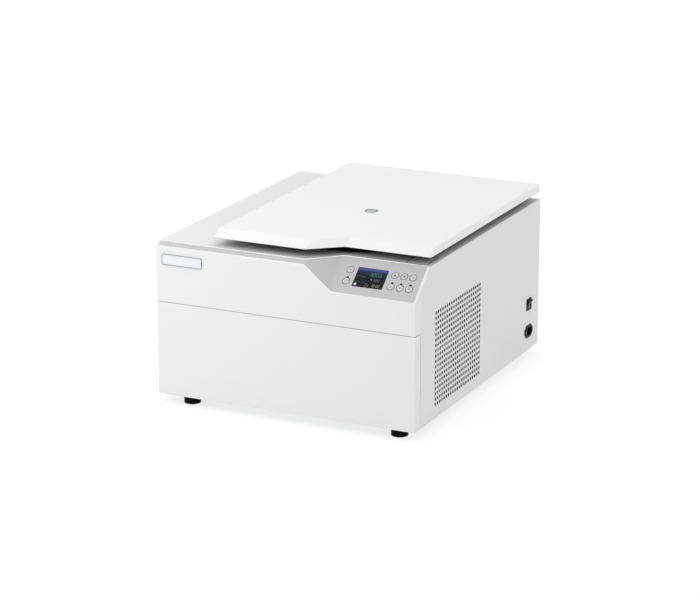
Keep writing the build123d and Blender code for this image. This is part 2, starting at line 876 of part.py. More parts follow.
with BuildPart() as lid_armour_plate:
    with BuildSketch(Plane.XY.offset(lid_bottom + lid_wall)):
        with BuildLine():
            Polyline(*lid_corners(lid_wall, liner_inset), close=True)
        make_face()
        with Locations(bowl_centre):
            RegularPolygon(port_hole, port_sides, mode=Mode.SUBTRACT)
    extrude(amount=armour_thickness)
save(lid_armour_plate.part, "lid_armour_plate")

with BuildPart() as lid_port_window:
    with BuildSketch(Plane.XY.offset(boss_bottom)):
        with Locations(bowl_centre):
            Circle(port_radius)
    extrude(amount=lid_top + port_proud / 2 - boss_bottom)
save(lid_port_window.part, "lid_port_window")

with BuildPart() as lid_port_bezel:
    with BuildSketch(Plane.XY.offset(lid_top)):
        with Locations(bowl_centre):
            Circle(port_radius + port_rim)
            Circle(port_radius + fit, mode=Mode.SUBTRACT)
    extrude(amount=port_proud)
save(lid_port_bezel.part, "lid_port_bezel")

striker_section = Plane(
    origin=(striker_x, striker_y, 0), x_dir=(0, 1, 0), z_dir=(1, 0, 0)
)
bolt_level = deck_under - bolt_drop
striker_bottom = bolt_level - striker_below_bolt
with BuildPart() as lid_striker:
    with BuildSketch(Plane.XY.offset(liner_bottom)):
        with Locations((striker_x, striker_y)):
            Rectangle(striker_foot, striker_width)
    extrude(amount=-striker_foot_thickness)
    with BuildSketch(striker_section.offset(-striker_thickness / 2)) as striker_outline:
        with Locations((0, (liner_bottom + striker_bottom) / 2)):
            Rectangle(striker_width, liner_bottom - striker_bottom)
        chamfer(striker_outline.vertices().group_by(Axis.Z)[0], striker_corner)
        with Locations((0, bolt_level)):
            Circle(bolt_radius + bolt_play, mode=Mode.SUBTRACT)
    extrude(amount=striker_thickness)
save(lid_striker.part, "lid_striker")

# ---------------------------------------------------------------- hinges
with BuildPart() as hinge_brackets:
    knuckle_top = hinge_z + knuckle_radius
    for place in hinge_places:
        for side in (-1, 1):
            centre = place + side * (leaf_length / 2 + hinge_gap + knuckle_length / 2)
            with BuildSketch(Plane.YZ.offset(centre - knuckle_length / 2)) as knuckle:
                with Locations((hinge_y, (deck_top + knuckle_top) / 2)):
                    Rectangle(2 * knuckle_radius, knuckle_top - deck_top)
                chamfer(knuckle.vertices().group_by(Axis.Z)[-1], bracket_chamfer)
                with Locations((hinge_y, hinge_z)):
                    Circle(pin_radius, mode=Mode.SUBTRACT)
            extrude(amount=knuckle_length)
        with BuildSketch(Plane.XY.offset(deck_top)):
            with Locations((place, hinge_y + knuckle_radius - bracket_depth / 2)):
                Rectangle(2 * hinge_half, bracket_depth)
        extrude(amount=bracket_foot)
save(hinge_brackets.part, "hinge_brackets")

with BuildPart() as hinge_pins:
    for place in hinge_places:
        with BuildSketch(Plane.YZ.offset(place - hinge_half)):
            with Locations((hinge_y, hinge_z)):
                Circle(pin_radius)
        extrude(amount=2 * hinge_half)
save(hinge_pins.part, "hinge_pins")

with BuildPart() as lid_hinge_leaves:
    for place in hinge_places:
        with BuildSketch(Plane.YZ.offset(place - leaf_length / 2)):
            with Locations((hinge_y, hinge_z)):
                Circle(knuckle_radius)
            with Locations((hinge_y - leaf_reach / 2, lid_bottom - leaf_plate / 2)):
                Rectangle(leaf_reach, leaf_plate)
            with Locations((hinge_y, hinge_z)):
                Circle(pin_radius + pin_clearance, mode=Mode.SUBTRACT)
        extrude(amount=leaf_length)
        with BuildSketch(Plane.XY.offset(lid_bottom)):
            with Locations((place, hinge_y - knuckle_radius - leaf_gap - leaf_reach / 2)):
                Rectangle(2 * hinge_half, leaf_reach)
        extrude(amount=-leaf_plate)
save(lid_hinge_leaves.part, "lid_hinge_leaves")

# ---------------------------------------------------------------- latch
pocket_left = striker_x - slot_width / 2
latch_left = pocket_left - latch_reach
latch_right = striker_x + slot_width / 2 + latch_wall
with BuildPart() as latch_housing:
    with BuildSketch(Plane.XY.offset(deck_under)):
        with Locations(((latch_left + latch_right) / 2, striker_y)):
            Rectangle(latch_right - latch_left, slot_length + 2 * latch_cheek)
    extrude(amount=-latch_height)
    with BuildSketch(Plane.XY.offset(deck_under)):
        with Locations((striker_x, striker_y)):
            Rectangle(slot_width, slot_length)
    extrude(amount=-latch_height + latch_floor, mode=Mode.SUBTRACT)
    with BuildSketch(Plane.YZ.offset(latch_left)):
        with Locations((striker_y, bolt_level)):
            Circle(bolt_radius + pin_clearance)
    extrude(amount=latch_right - latch_left - latch_end, mode=Mode.SUBTRACT)
save(latch_housing.part, "latch_housing")

with BuildPart() as latch_bolt:
    with BuildSketch(Plane.YZ.offset(pocket_left - bolt_set_back)):
        with Locations((striker_y, bolt_level)):
            Circle(bolt_radius)
    extrude(amount=-bolt_length)
    chamfer(latch_bolt.edges().group_by(Axis.X)[-1], bolt_chamfer)
save(latch_bolt.part, "latch_bolt")

# ---------------------------------------------------------------- chamber
seal_bore = spindle_radius + seal_gap
bowl_under = bowl_floor - bowl_wall
with BuildPart() as chamber_bowl:
    with BuildSketch(bowl_section) as bowl_profile:
        with BuildLine():
            Polyline(
                (seal_radius, bowl_floor),
                (bowl_radius, bowl_floor),
                (bowl_radius, deck_top + bowl_wall),
                (flange_radius, deck_top + bowl_wall),
                (flange_radius, deck_top),
                (bowl_outer, deck_top),
                (bowl_outer, bowl_under),
                (seal_radius, bowl_under),
                close=True,
            )
        make_face()
        for corner in ((bowl_radius, bowl_floor), (bowl_outer, bowl_under)):
            place = (bowl_x + corner[0], bowl_y, corner[1])
            chamfer(bowl_profile.vertices().sort_by_distance(place)[0], bowl_corner)
    revolve(axis=bowl_axis)
save(chamber_bowl.part, "chamber_bowl")

with BuildPart() as chamber_gasket:
    gasket_top = liner_bottom - gasket_gap
    with BuildSketch(bowl_section):
        with BuildLine():
            Polyline(
                (gasket_inner, deck_top),
                (gasket_outer, deck_top),
                (gasket_outer - gasket_taper, gasket_top),
                (gasket_inner + gasket_taper, gasket_top),
                close=True,
            )
        make_face()
    revolve(axis=bowl_axis)
save(chamber_gasket.part, "chamber_gasket")

with BuildPart() as insulation_jacket:
    with BuildSketch(Plane.XY.offset(jacket_bottom)):
        with Locations(bowl_centre):
            RegularPolygon(jacket_radius, jacket_sides)
            RegularPolygon(seal_radius + jacket_seal_gap, jacket_sides, mode=Mode.SUBTRACT)
    extrude(amount=deck_under - fit - jacket_bottom)
    with BuildSketch(Plane.XY.offset(bowl_under - fit)):
        with Locations(bowl_centre):
            Circle(bowl_outer + fit)
    extrude(amount=bowl_depth + bowl_wall, mode=Mode.SUBTRACT)
save(insulation_jacket.part, "insulation_jacket")

with BuildPart() as spindle_seal:
    with BuildSketch(Plane.XY.offset(bowl_under)):
        with Locations(bowl_centre):
            RegularPolygon(seal_radius, seal_sides)
    extrude(amount=bowl_wall)
    with BuildSketch(Plane.XY.offset(bowl_floor)):
        with Locations(bowl_centre):
            RegularPolygon(seal_radius + seal_lip, seal_sides)
    extrude(amount=seal_height)
    with BuildSketch(Plane.XY.offset(bowl_under)):
        with Locations(bowl_centre):
            Circle(seal_bore)
    extrude(amount=bowl_wall + seal_height, mode=Mode.SUBTRACT)
save(spindle_seal.part, "spindle_seal")

# ---------------------------------------------------------------- drive
damper_top = tray_top + damper_height
plate_top = damper_top + mount_plate_thickness
damper_pitch = mount_plate_size - 2 * (damper_radius + damper_inset)
motor_top = jacket_bottom - motor_gap
neck_top = jacket_bottom - neck_gap
spindle_bottom = plate_top + spindle_lift

with BuildPart() as vibration_dampers:
    with BuildSketch(Plane.XY.offset(tray_top)):
        with Locations(bowl_centre):
            with GridLocations(damper_pitch, damper_pitch, 2, 2):
                RegularPolygon(damper_radius, mount_sides)
    extrude(amount=damper_height)
save(vibration_dampers.part, "vibration_dampers")

with BuildPart() as motor_mount_plate:
    with BuildSketch(Plane.XY.offset(damper_top)) as mount_outline:
        with Locations(bowl_centre):
            Rectangle(mount_plate_size, mount_plate_size)
        chamfer(mount_outline.vertices(), mount_plate_corner)
    extrude(amount=mount_plate_thickness)
save(motor_mount_plate.part, "motor_mount_plate")

with BuildPart() as drive_motor:
    with BuildSketch(Plane.XY.offset(plate_top)):
        with Locations(bowl_centre):
            Circle(motor_radius)
    extrude(amount=motor_top - plate_top)
    chamfer(drive_motor.edges().group_by(Axis.Z)[-1], motor_chamfer)
    with BuildSketch(Plane.XY.offset(motor_top)):
        with Locations(bowl_centre):
            RegularPolygon(neck_radius, mount_sides)
    extrude(amount=neck_top - motor_top)
    with BuildSketch(Plane.XY.offset(neck_top)):
        with Locations(bowl_centre):
            Circle(spindle_radius + pin_clearance)
    extrude(amount=spindle_bottom - spindle_end_gap - neck_top, mode=Mode.SUBTRACT)
save(drive_motor.part, "drive_motor")

with BuildPart() as spindle_shaft:
    with BuildSketch(Plane.XY.offset(spindle_bottom)):
        with Locations(bowl_centre):
            Circle(spindle_radius)
    extrude(amount=hub_top - spindle_bottom)
    with BuildSketch(Plane.XY.offset(hub_top)):
        with Locations(bowl_centre):
            Circle(stud_radius)
    extrude(amount=stud_height)
save(spindle_shaft.part, "spindle_shaft")

# ---------------------------------------------------------------- rotor
crossbar_half = trunnion_x - carrier_half_width - swing_room
pocket_length = 2 * (crossbar_half - pocket_wall)
pocket_width = rail_inner - hub_radius - 2 * pocket_wall
trunnion_face = Plane(
    origin=(bowl_x, bowl_y, trunnion_z), x_dir=(1, 0, 0), z_dir=(0, -1, 0)
)
with BuildPart() as rotor_yoke:
    with BuildSketch(Plane.XY.offset(yoke_bottom)) as yoke_outline:
        with Locations(bowl_centre):
            Rectangle(2 * (trunnion_x + yoke_end), 2 * rail_outer)
        fillet(yoke_outline.vertices(), yoke_corner)
    extrude(amount=yoke_height)
    # one open bay for each swinging carrier
    for side in (-1, 1):
        with BuildSketch(Plane.XY.offset(yoke_bottom)) as bay:
            with Locations((bowl_x + side * (crossbar_half + trunnion_x), bowl_y)):
                Rectangle(2 * trunnion_x, 2 * rail_inner)
            chamfer(bay.vertices(), bay_chamfer)
        extrude(amount=yoke_height, mode=Mode.SUBTRACT)
    # lightening pockets either side of the hub
    with BuildSketch(Plane.XY.offset(yoke_top)):
        with Locations(bowl_centre):
            with GridLocations(0, hub_radius + rail_inner, 1, 2):
                Rectangle(pocket_length, pocket_width)
    extrude(amount=-yoke_height + pocket_floor, mode=Mode.SUBTRACT)
    with BuildSketch(Plane.XY.offset(yoke_bottom - hub_drop)):
        with Locations(bowl_centre):
            Circle(hub_radius)
    extrude(amount=hub_top - yoke_bottom + hub_drop)
    with BuildSketch(Plane.XY.offset(yoke_bottom - hub_drop)):
        with Locations(bowl_centre):
            Circle(spindle_radius)
    extrude(amount=hub_top - yoke_bottom + hub_drop, mode=Mode.SUBTRACT)
    with BuildSketch(trunnion_face):
        with GridLocations(2 * trunnion_x, 0, 2, 1):
            Circle(trunnion_radius)
    extrude(amount=rail_outer, both=True, mode=Mode.SUBTRACT)
save(rotor_yoke.part, "rotor_yoke")

with BuildPart() as trunnion_pins:
    for side in (-1, 1):
        with BuildSketch(trunnion_face.offset(side * pin_inner)):
            with GridLocations(2 * trunnion_x, 0, 2, 1):
                Circle(trunnion_radius)
        extrude(amount=side * (rail_outer - pin_inner))
save(trunnion_pins.part, "trunnion_pins")

with BuildPart() as rotor_nut:
    with BuildSketch(Plane.XY.offset(hub_top)):
        with Locations(bowl_centre):
            RegularPolygon(nut_radius, nut_sides)
    extrude(amount=nut_height)
    chamfer(rotor_nut.edges().group_by(Axis.Z)[-1], nut_chamfer)
    with BuildSketch(Plane.XY.offset(hub_top)):
        with Locations(bowl_centre):
            Circle(stud_radius)
    extrude(amount=stud_height, mode=Mode.SUBTRACT)
save(rotor_nut.part, "rotor_nut")

carrier_base = trunnion_z - carrier_bottom
carrier_rim = carrier_base + carrier_floor + carrier_lip
for side, carrier_name in ((1, "plate_carrier_right"), (-1, "plate_carrier_left")):
    carrier_x = bowl_x + side * trunnion_x
    with BuildPart() as plate_carrier:
        with BuildSketch(Plane.XY.offset(carrier_base)):
            with Locations((carrier_x, bowl_y)):
                Rectangle(2 * carrier_half_width, 2 * carrier_half_length)
        extrude(amount=carrier_rim - carrier_base)
        with BuildSketch(Plane.XY.offset(carrier_base + carrier_floor)):
            with Locations((carrier_x, bowl_y)):
                Rectangle(plate_width + plate_play, plate_length + plate_play)
        extrude(amount=carrier_lip, mode=Mode.SUBTRACT)
        # hanger plates that rise to the trunnions
        for end in (-1, 1):
            hanger_middle = bowl_y + end * (carrier_half_length - carrier_end_wall / 2)
            with BuildSketch(Plane.XZ.offset(-hanger_middle)):
                with BuildLine():
                    Polyline(
                        (carrier_x - carrier_half_width, carrier_base),
                        (carrier_x + carrier_half_width, carrier_base),
                        (carrier_x + carrier_half_width, carrier_rim),
                        (carrier_x + hanger_half, trunnion_z),
                        (carrier_x + hanger_half - hanger_chamfer, trunnion_z + hanger_rise),
                        (carrier_x - hanger_half + hanger_chamfer, trunnion_z + hanger_rise),
                        (carrier_x - hanger_half, trunnion_z),
                        (carrier_x - carrier_half_width, carrier_rim),
                        close=True,
                    )
                make_face()
                with Locations((carrier_x, trunnion_z)):
                    Circle(trunnion_radius + trunnion_clearance, mode=Mode.SUBTRACT)
            extrude(amount=carrier_end_wall / 2, both=True)
        # finger notches in the low walls
        with BuildSketch(Plane.YZ.offset(carrier_x - carrier_half_width)):
            with Locations((bowl_y, carrier_rim)):
                Rectangle(notch_length, 2 * notch_depth)
        extrude(amount=2 * carrier_half_width, mode=Mode.SUBTRACT)
    save(plate_carrier.part, carrier_name)

# ---------------------------------------------------------------- cooling
bay_left = -inner_half
bay_right = bowl_x - jacket_radius
compressor_radius = (bay_right - bay_left) / 2 - bay_gap
compressor_x = (bay_left + bay_right) / 2
compressor_y = rear - compressor_from_rear
compressor_bottom = tray_top + grommet_height
compressor_top = deck_top - compressor_top_gap
grommet_pitch_x = 2 * compressor_radius - compressor_foot
grommet_pitch_y = 2 * compressor_radius + compressor_foot
with BuildPart() as compressor:
    with BuildSketch(Plane.XY.offset(compressor_bottom)):
        with Locations((compressor_x, compressor_y)):
            Circle(compressor_radius)
    extrude(amount=compressor_top - compressor_bottom)
    chamfer(compressor.edges().group_by(Axis.Z)[-1], compressor_dome)
    with BuildSketch(Plane.XY.offset(compressor_bottom)):
        with Locations((compressor_x, compressor_y)):
            Rectangle(2 * compressor_radius, 2 * (compressor_radius + compressor_foot))
    extrude(amount=compressor_plate)
save(compressor.part, "compressor")

with BuildPart() as compressor_grommets:
    with BuildSketch(Plane.XY.offset(tray_top)):
        with Locations((compressor_x, compressor_y)):
            with GridLocations(grommet_pitch_x, grommet_pitch_y, 2, 2):
                RegularPolygon(grommet_radius, screw_sides)
    extrude(amount=grommet_height)
save(compressor_grommets.part, "compressor_grommets")

vent_y = front + vent_from_front
condenser_right = inner_half - condenser_gap
condenser_left = condenser_right - condenser_depth
condenser_x = (condenser_left + condenser_right) / 2
condenser_height = condenser_top - tray_sheet
with BuildPart() as condenser:
    with BuildSketch(Plane.XY.offset(tray_top)):
        with Locations((condenser_x, vent_y)):
            with GridLocations(0, condenser_length, 1, 2):
                Rectangle(condenser_depth, header_width)
            with GridLocations(0, fin_pitch, 1, fin_count):
                Rectangle(fin_depth, fin_thickness)
    extrude(amount=condenser_height)
    # rails that tie the fins together at the top and the bottom
    with BuildSketch(Plane.XZ.offset(-vent_y + condenser_length / 2)):
        with Locations((condenser_x, tray_top + condenser_height / 2)):
            with GridLocations(0, condenser_height - rail_height, 1, 2):
                Rectangle(condenser_depth, rail_height)
    extrude(amount=-condenser_length)
save(condenser.part, "condenser")

fan_right = condenser_left - fan_to_condenser
fan_left = fan_right - fan_depth
fan_centre_z = tray_top + fan_size / 2
fan_plane = Plane(origin=(fan_left, vent_y, fan_centre_z), x_dir=(0, 1, 0), z_dir=(1, 0, 0))
fan_bore = fan_size / 2 - fan_wall
rotor_back = spider_thickness + fan_gap
rotor_length = fan_depth - rotor_back - fan_gap
with BuildPart() as fan_frame:
    with BuildSketch(fan_plane):
        Rectangle(fan_size, fan_size)
        Circle(fan_bore, mode=Mode.SUBTRACT)
    extrude(amount=fan_depth)
    with BuildSketch(fan_plane):
        RegularPolygon(fan_hub, fan_hub_sides)
        Rectangle(2 * (fan_bore + fan_wall / 2), spider_width)
        Rectangle(spider_width, 2 * (fan_bore + fan_wall / 2))
    extrude(amount=spider_thickness)
    with BuildSketch(fan_plane.offset(spider_thickness)):
        Circle(fan_pin)
    extrude(amount=fan_pin_length)
save(fan_frame.part, "fan_frame")

fan_middle = fan_plane.origin + Vector(rotor_back + rotor_length / 2, 0, 0)
blade_pitch = radians(blade_angle)
with BuildPart() as fan_rotor:
    with BuildSketch(fan_plane.offset(rotor_back)):
        RegularPolygon(fan_hub, fan_hub_sides)
    extrude(amount=rotor_length)
    for index in range(blade_count):
        turn = radians(index * 360.0 / blade_count)
        outward = Vector(0, cos(turn), sin(turn))
        across = Vector(0, -sin(turn), cos(turn))
        blade_section = Plane(
            origin=fan_middle + outward * (fan_hub - blade_root),
            x_dir=across * cos(blade_pitch) + Vector(1, 0, 0) * sin(blade_pitch),
            z_dir=outward,
        )
        with BuildSketch(blade_section):
            Rectangle(blade_chord, blade_thickness)
        extrude(amount=fan_bore - fan_hub + blade_root - blade_tip_gap)
    with BuildSketch(fan_plane.offset(rotor_back)):
        Circle(fan_pin + pin_clearance)
    extrude(amount=fan_pin_length, mode=Mode.SUBTRACT)
save(fan_rotor.part, "fan_rotor")

# ---------------------------------------------------------------- electronics in the rear bay
bay_front = bowl_y + jacket_radius + bay_gap
bay_rear = rear - skin - tray_sheet - bay_gap
power_length = bay_rear - bay_front
power_x = half_width - power_from_right
power_place = (power_x, (bay_front + bay_rear) / 2)
power_top = tray_top + standoff + board_thickness
with BuildPart() as power_board:
    with BuildSketch(Plane.XY.offset(tray_top + standoff)):
        with Locations(power_place):
            Rectangle(power_width, power_length)
    extrude(amount=board_thickness)
    with BuildSketch(Plane.XY.offset(tray_top)):
        with Locations(power_place):
            with GridLocations(power_width - 2 * board_post, power_length - 2 * board_post, 2, 2):
                Rectangle(board_post, board_post)
    extrude(amount=standoff)
    # finned heat sink, smoothing capacitors and a transformer
    with BuildSketch(Plane.XY.offset(power_top)):
        with Locations((power_x - power_part_pitch, power_place[1])):
            with GridLocations(sink_pitch, 0, sink_fins, 1):
                Rectangle(sink_fin, power_length * 0.8)
            Rectangle(sink_pitch * sink_fins, power_length * 0.3)
    extrude(amount=sink_height)
    with BuildSketch(Plane.XY.offset(power_top)):
        with Locations(power_place):
            with GridLocations(0, power_length / 3, 1, 3):
                RegularPolygon(power_length / 8, screw_sides)
    extrude(amount=capacitor_height)
    with BuildSketch(Plane.XY.offset(power_top)):
        with Locations((power_x + power_part_pitch, power_place[1])):
            Rectangle(transformer_width, power_length / 2)
    extrude(amount=transformer_height)
save(power_board.part, "power_board")
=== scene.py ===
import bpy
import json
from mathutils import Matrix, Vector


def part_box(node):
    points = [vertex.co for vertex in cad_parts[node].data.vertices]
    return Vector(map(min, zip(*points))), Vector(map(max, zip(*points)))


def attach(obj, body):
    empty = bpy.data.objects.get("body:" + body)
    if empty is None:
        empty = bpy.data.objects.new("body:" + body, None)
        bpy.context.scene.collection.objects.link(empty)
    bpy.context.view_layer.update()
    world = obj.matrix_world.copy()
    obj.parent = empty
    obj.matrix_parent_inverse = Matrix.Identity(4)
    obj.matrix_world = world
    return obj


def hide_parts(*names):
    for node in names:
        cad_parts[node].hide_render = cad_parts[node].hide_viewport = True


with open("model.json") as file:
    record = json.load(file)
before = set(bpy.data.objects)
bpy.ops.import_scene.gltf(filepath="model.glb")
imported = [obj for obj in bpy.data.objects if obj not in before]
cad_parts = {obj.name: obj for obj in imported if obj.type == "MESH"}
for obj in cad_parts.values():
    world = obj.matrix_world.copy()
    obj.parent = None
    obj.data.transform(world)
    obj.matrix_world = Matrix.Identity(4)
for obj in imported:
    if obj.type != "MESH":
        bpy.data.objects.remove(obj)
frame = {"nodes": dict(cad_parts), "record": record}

"""Finishes, printed marks and studio set of a bench-top microplate centrifuge.

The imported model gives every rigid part. This script dresses those parts, adds the pieces that are
finer than the model, such as the round holes of the vent and the marks of the controls, and sets up
a plain studio. Lengths are in metres.
"""

import json
import logging
from collections.abc import Iterable, Mapping, Sequence
from dataclasses import asdict, dataclass
from enum import Enum
from math import pi, radians

import bpy
import numpy as np
from mathutils import Vector

LOG = logging.getLogger("centrifuge")
MM = 0.001
HAIR = 0.01 * MM  # points that differ by less lie on one face
TINY = 1e-6  # the same for the flat polygons of a cover
DECIMALS = 7  # places to which the points that polygons share are rounded
HAIR_DECIMALS = 5

Array = np.ndarray
Triple = tuple[float, float, float]
Socket = bpy.types.NodeSocket


class Body(str, Enum):
    """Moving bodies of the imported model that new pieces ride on."""

    CABINET = "cabinet"
    ROCKER = "rocker"
    KEY_LEFT_UPPER = "key_left_upper"
    KEY_LEFT_LOWER = "key_left_lower"
    KEY_UPPER_1 = "key_upper_1"
    KEY_UPPER_2 = "key_upper_2"
    KEY_UPPER_3 = "key_upper_3"
    KEY_LOWER_1 = "key_lower_1"
    KEY_LOWER_2 = "key_lower_2"
    KEY_LOWER_3 = "key_lower_3"


# ------------------------------------------------------------------ forms
@dataclass
class Form:
    """A mesh in the making: points in rows of three, and faces as tuples of point numbers."""

    points: Array
    faces: list[tuple[int, ...]]

    def placed(self, plane: "Plane") -> "Form":
        """The form carried from a plane's own coordinates into the model's."""
        return Form(plane.to_model(self.points), self.faces)

    def shifted(self, right: float, up: float, out: float = 0.0) -> "Form":
        """The form moved by that much along its own three axes."""
        return Form(self.points + np.array([right, up, out]), self.faces)

    def scaled(self, across: float, depth: float) -> "Form":
        """The form stretched by one factor across and by another in its thickness."""
        return Form(self.points * np.array([across, across, depth]), self.faces)


@dataclass(frozen=True)
class Plane:
    """A flat face to build on: an origin, and unit vectors to the right and up on it."""

    origin: Triple
    right: Triple
    up: Triple

    @property
    def axes(self) -> Array:
        """The unit vectors to the right, up and out of the face, in rows."""
        return np.array([self.right, self.up, np.cross(self.right, self.up)])

    def to_model(self, points: Array) -> Array:
        """Points in rows of (right, up, out) as points in the model's axes."""
        return np.asarray(self.origin) + points @ self.axes

    def from_model(self, points: Array) -> Array:
        """Points in the model's axes as rows of (right, up, out)."""
        return (points - np.asarray(self.origin)) @ self.axes.T


def joined(forms: Iterable[Form]) -> Form:
    """Puts several forms into one, each still closed by itself.

    Args:
        forms: The forms, in order.

    Returns:
        The form that holds them all.
    """
    points: list[Array] = []
    faces: list[tuple[int, ...]] = []
    start = 0
    for form in forms:
        points.append(form.points)
        faces += [tuple(start + index for index in face) for face in form.faces]
        start += len(form.points)
    return Form(np.concatenate(points), faces)


def middle_and_size(points: Array) -> tuple[Array, Array]:
    """The middle and the size of the box round some points."""
    low, high = points.min(axis=0), points.max(axis=0)
    return (low + high) / 2, high - low


def circle(radius: float, count: int, turn: float = 0.0) -> Array:
    """Points on a circle: (r cos t, r sin t) for equal steps of t from turn onwards."""
    angle = turn + np.arange(count) * 2 * pi / count
    return radius * np.stack([np.cos(angle), np.sin(angle)], axis=1)


def rounded_rectangle(width: float, height: float, radius: float, steps: int = 3) -> Array:
    """Outline of a rectangle with round corners, about the origin.

    Each corner is a quarter circle of the radius about a point set in from the corner by it.

    Args:
        width: Its whole width.
        height: Its whole height.
        radius: The corners' radius.
        steps: How many points a corner has.

    Returns:
        The outline's points, anticlockwise.
    """
    angle = np.linspace(0, pi / 2, steps)[None, :] + np.arange(4)[:, None] * pi / 2
    signs = np.array([[1, 1], [-1, 1], [-1, -1], [1, -1]])
    centres = signs * np.array([width / 2 - radius, height / 2 - radius])
    arcs = centres[:, None, :] + radius * np.stack([np.cos(angle), np.sin(angle)], axis=2)
    return arcs.reshape(-1, 2)


def lofted(rows: Array, capped: bool = True) -> Form:
    """Closed form through rows of points, each row one closed loop.

    Point j of row i makes a quad with point j + 1 of its row and the same two points of row i + 1.

    Args:
        rows: Points by row, place in the row and axis. A loop runs anticlockwise as seen from the
            last row.
        capped: Whether flat ends close the form. If not, the last row meets the first.

    Returns:
        The form.
    """
    total, count, _ = rows.shape
    here = np.arange(count)
    after = (here + 1) % count
    low = np.arange(total - capped)[:, None] * count
    high = (low + count) % (total * count)
    quads = np.stack([low + here, low + after, high + after, high + here], axis=2)
    faces = [tuple(quad) for quad in quads.reshape(-1, 4).tolist()]
    if capped:
        faces.append(tuple(range(count - 1, -1, -1)))
        faces.append(tuple(range((total - 1) * count, total * count)))
    return Form(rows.reshape(-1, 3), faces)


def raised(outline: Array, height: float) -> Array:
    """A flat outline's points at one height, in rows of three."""
    return np.column_stack([outline, np.full(len(outline), height)])


def prism(outline: Array, low: float = 0, high: float = 1) -> Form:
    """Closed prism over an anticlockwise outline, from one height to another."""
    return lofted(np.stack([raised(outline, low), raised(outline, high)]))


def ring(inner: Array, outer: Array, low: float = 0, high: float = 1) -> Form:
    """Closed band between two outlines that have the same number of points."""
    loops = ((outer, low), (outer, high), (inner, high), (inner, low))
    return lofted(np.stack([raised(loop, height) for loop, height in loops]), capped=False)


def hoop(inner: float, outer: float, count: int) -> Form:
    """Closed flat ring, one unit thick, between two radii."""
    return ring(circle(inner, count), circle(outer, count))


def revolved(profile: Array, count: int) -> Form:
    """Closed solid of revolution: a point of the profile at angle t is (r cos t, r sin t, h).

    Args:
        profile: Rows of (radius, height) from the bottom to the top, between which flat ends close
            the solid.
        count: How many flats go round it.

    Returns:
        The solid about the out axis.
    """
    turned = profile[:, None, :1] * circle(1.0, count)
    heights = np.broadcast_to(profile[:, None, 1:], (len(profile), count, 1))
    return lofted(np.concatenate([turned, heights], axis=2))


def tube(path: Array, binormal: Triple, radius: float, sides: int) -> Form:
    """Closed round bead along a path.

    The cross-section at each point is radius * (cos a N + sin a B), where B is the binormal, which
    the path is square to, and N is the path's direction crossed with it.

    Args:
        path: The middle line, in rows of three.
        binormal: The direction that the path keeps square to.
        radius: The bead's radius.
        sides: How many flats go round it.

    Returns:
        The bead with both ends capped.
    """
    across = np.asarray(binormal)
    direction = np.gradient(path, axis=0)
    direction /= np.linalg.norm(direction, axis=1, keepdims=True)
    normal = np.cross(direction, across)
    section = circle(radius, sides)
    rows = path[:, None] + section[:, :1] * normal[:, None] + section[:, 1:] * across
    # the section runs clockwise as seen from the path's end, so its rows are taken backwards
    return lofted(rows[::-1])


def softened(path: Array, reach: float, steps: int = 6) -> Array:
    """A path whose inner corners are curves.

    Each corner b becomes (1 - t)^2 a + 2 t (1 - t) b + t^2 c, where a and c lie the reach before
    and after it.

    Args:
        path: The corners in rows.
        reach: How far from a corner its curve starts.
        steps: How many points a curve has.

    Returns:
        The path's points in rows.
    """
    share = np.linspace(0, 1, steps)[:, None]
    rows = [path[:1]]
    for before, corner, after in zip(path, path[1:], path[2:]):
        first = corner + reach * (before - corner) / np.linalg.norm(before - corner)
        last = corner + reach * (after - corner) / np.linalg.norm(after - corner)
        rows.append((1 - share) ** 2 * first + 2 * share * (1 - share) * corner + share ** 2 * last)
    rows.append(path[-1:])
    return np.concatenate(rows)


# ------------------------------------------------------------------ shader nodes
def linear(levels: Triple) -> tuple[float, ...]:
    """A colour of a screen's levels from 0 to 255 as an opaque linear colour.

    A level is divided by 255 to s, which gives s / 12.92 up to 0.04045 and else (s + 0.055) / 1.055
    to the power 2.4.

    Args:
        levels: Red, green and blue.

    Returns:
        The linear red, green and blue, and 1.
    """
    share = np.array(levels) / 255
    values = np.where(share <= 0.04045, share / 12.92, ((share + 0.055) / 1.055) ** 2.4)
    return (*values.tolist(), 1.0)


NOISE_DETAIL = 2.0
TONE_DETAIL = 3.0
FINE_SCALE = 4.0  # the fine noise against the coarse one
FINE_SHARE = 0.35
TRACK_WIDTH = 0.06  # in cells


class Wiring:
    """A node tree to which nodes are added with their inputs already set or linked."""

    def __init__(self, tree: bpy.types.NodeTree) -> None:
        """Keeps the tree."""
        self.tree = tree

    def feed(self, node: bpy.types.Node, inputs: Mapping[str | int, object]) -> None:
        """Gives a node its inputs.

        Args:
            node: The node.
            inputs: A plain value, or another node's output, by the input's name or number.
        """
        for label, value in inputs.items():
            if isinstance(value, Socket):
                self.tree.links.new(value, node.inputs[label])
            else:
                node.inputs[label].default_value = value

    def node(
        self, kind: str, inputs: Mapping[str | int, object] | None = None, **settings: object
    ) -> bpy.types.Node:
        """Adds a node.

        Args:
            kind: Its type, after the word ShaderNode.
            inputs: What feed gives it.
            settings: Its properties.

        Returns:
            The new node.
        """
        made = self.tree.nodes.new(f"ShaderNode{kind}")
        for label, value in settings.items():
            setattr(made, label, value)
        self.feed(made, inputs or {})
        return made

    def math(self, operation: str, *operands: float | Socket) -> Socket:
        """The result of a sum on values or sockets."""
        return self.node("Math", dict(enumerate(operands)), operation=operation).outputs[0]

    def mix(self, share: Socket, first: Socket, second: Triple) -> Socket:
        """The first colour where the share is 0, and the second where it is 1."""
        inputs = {"Factor": share, "A": first, "B": linear(second)}
        return self.node("Mix", inputs, data_type="RGBA").outputs["Result"]


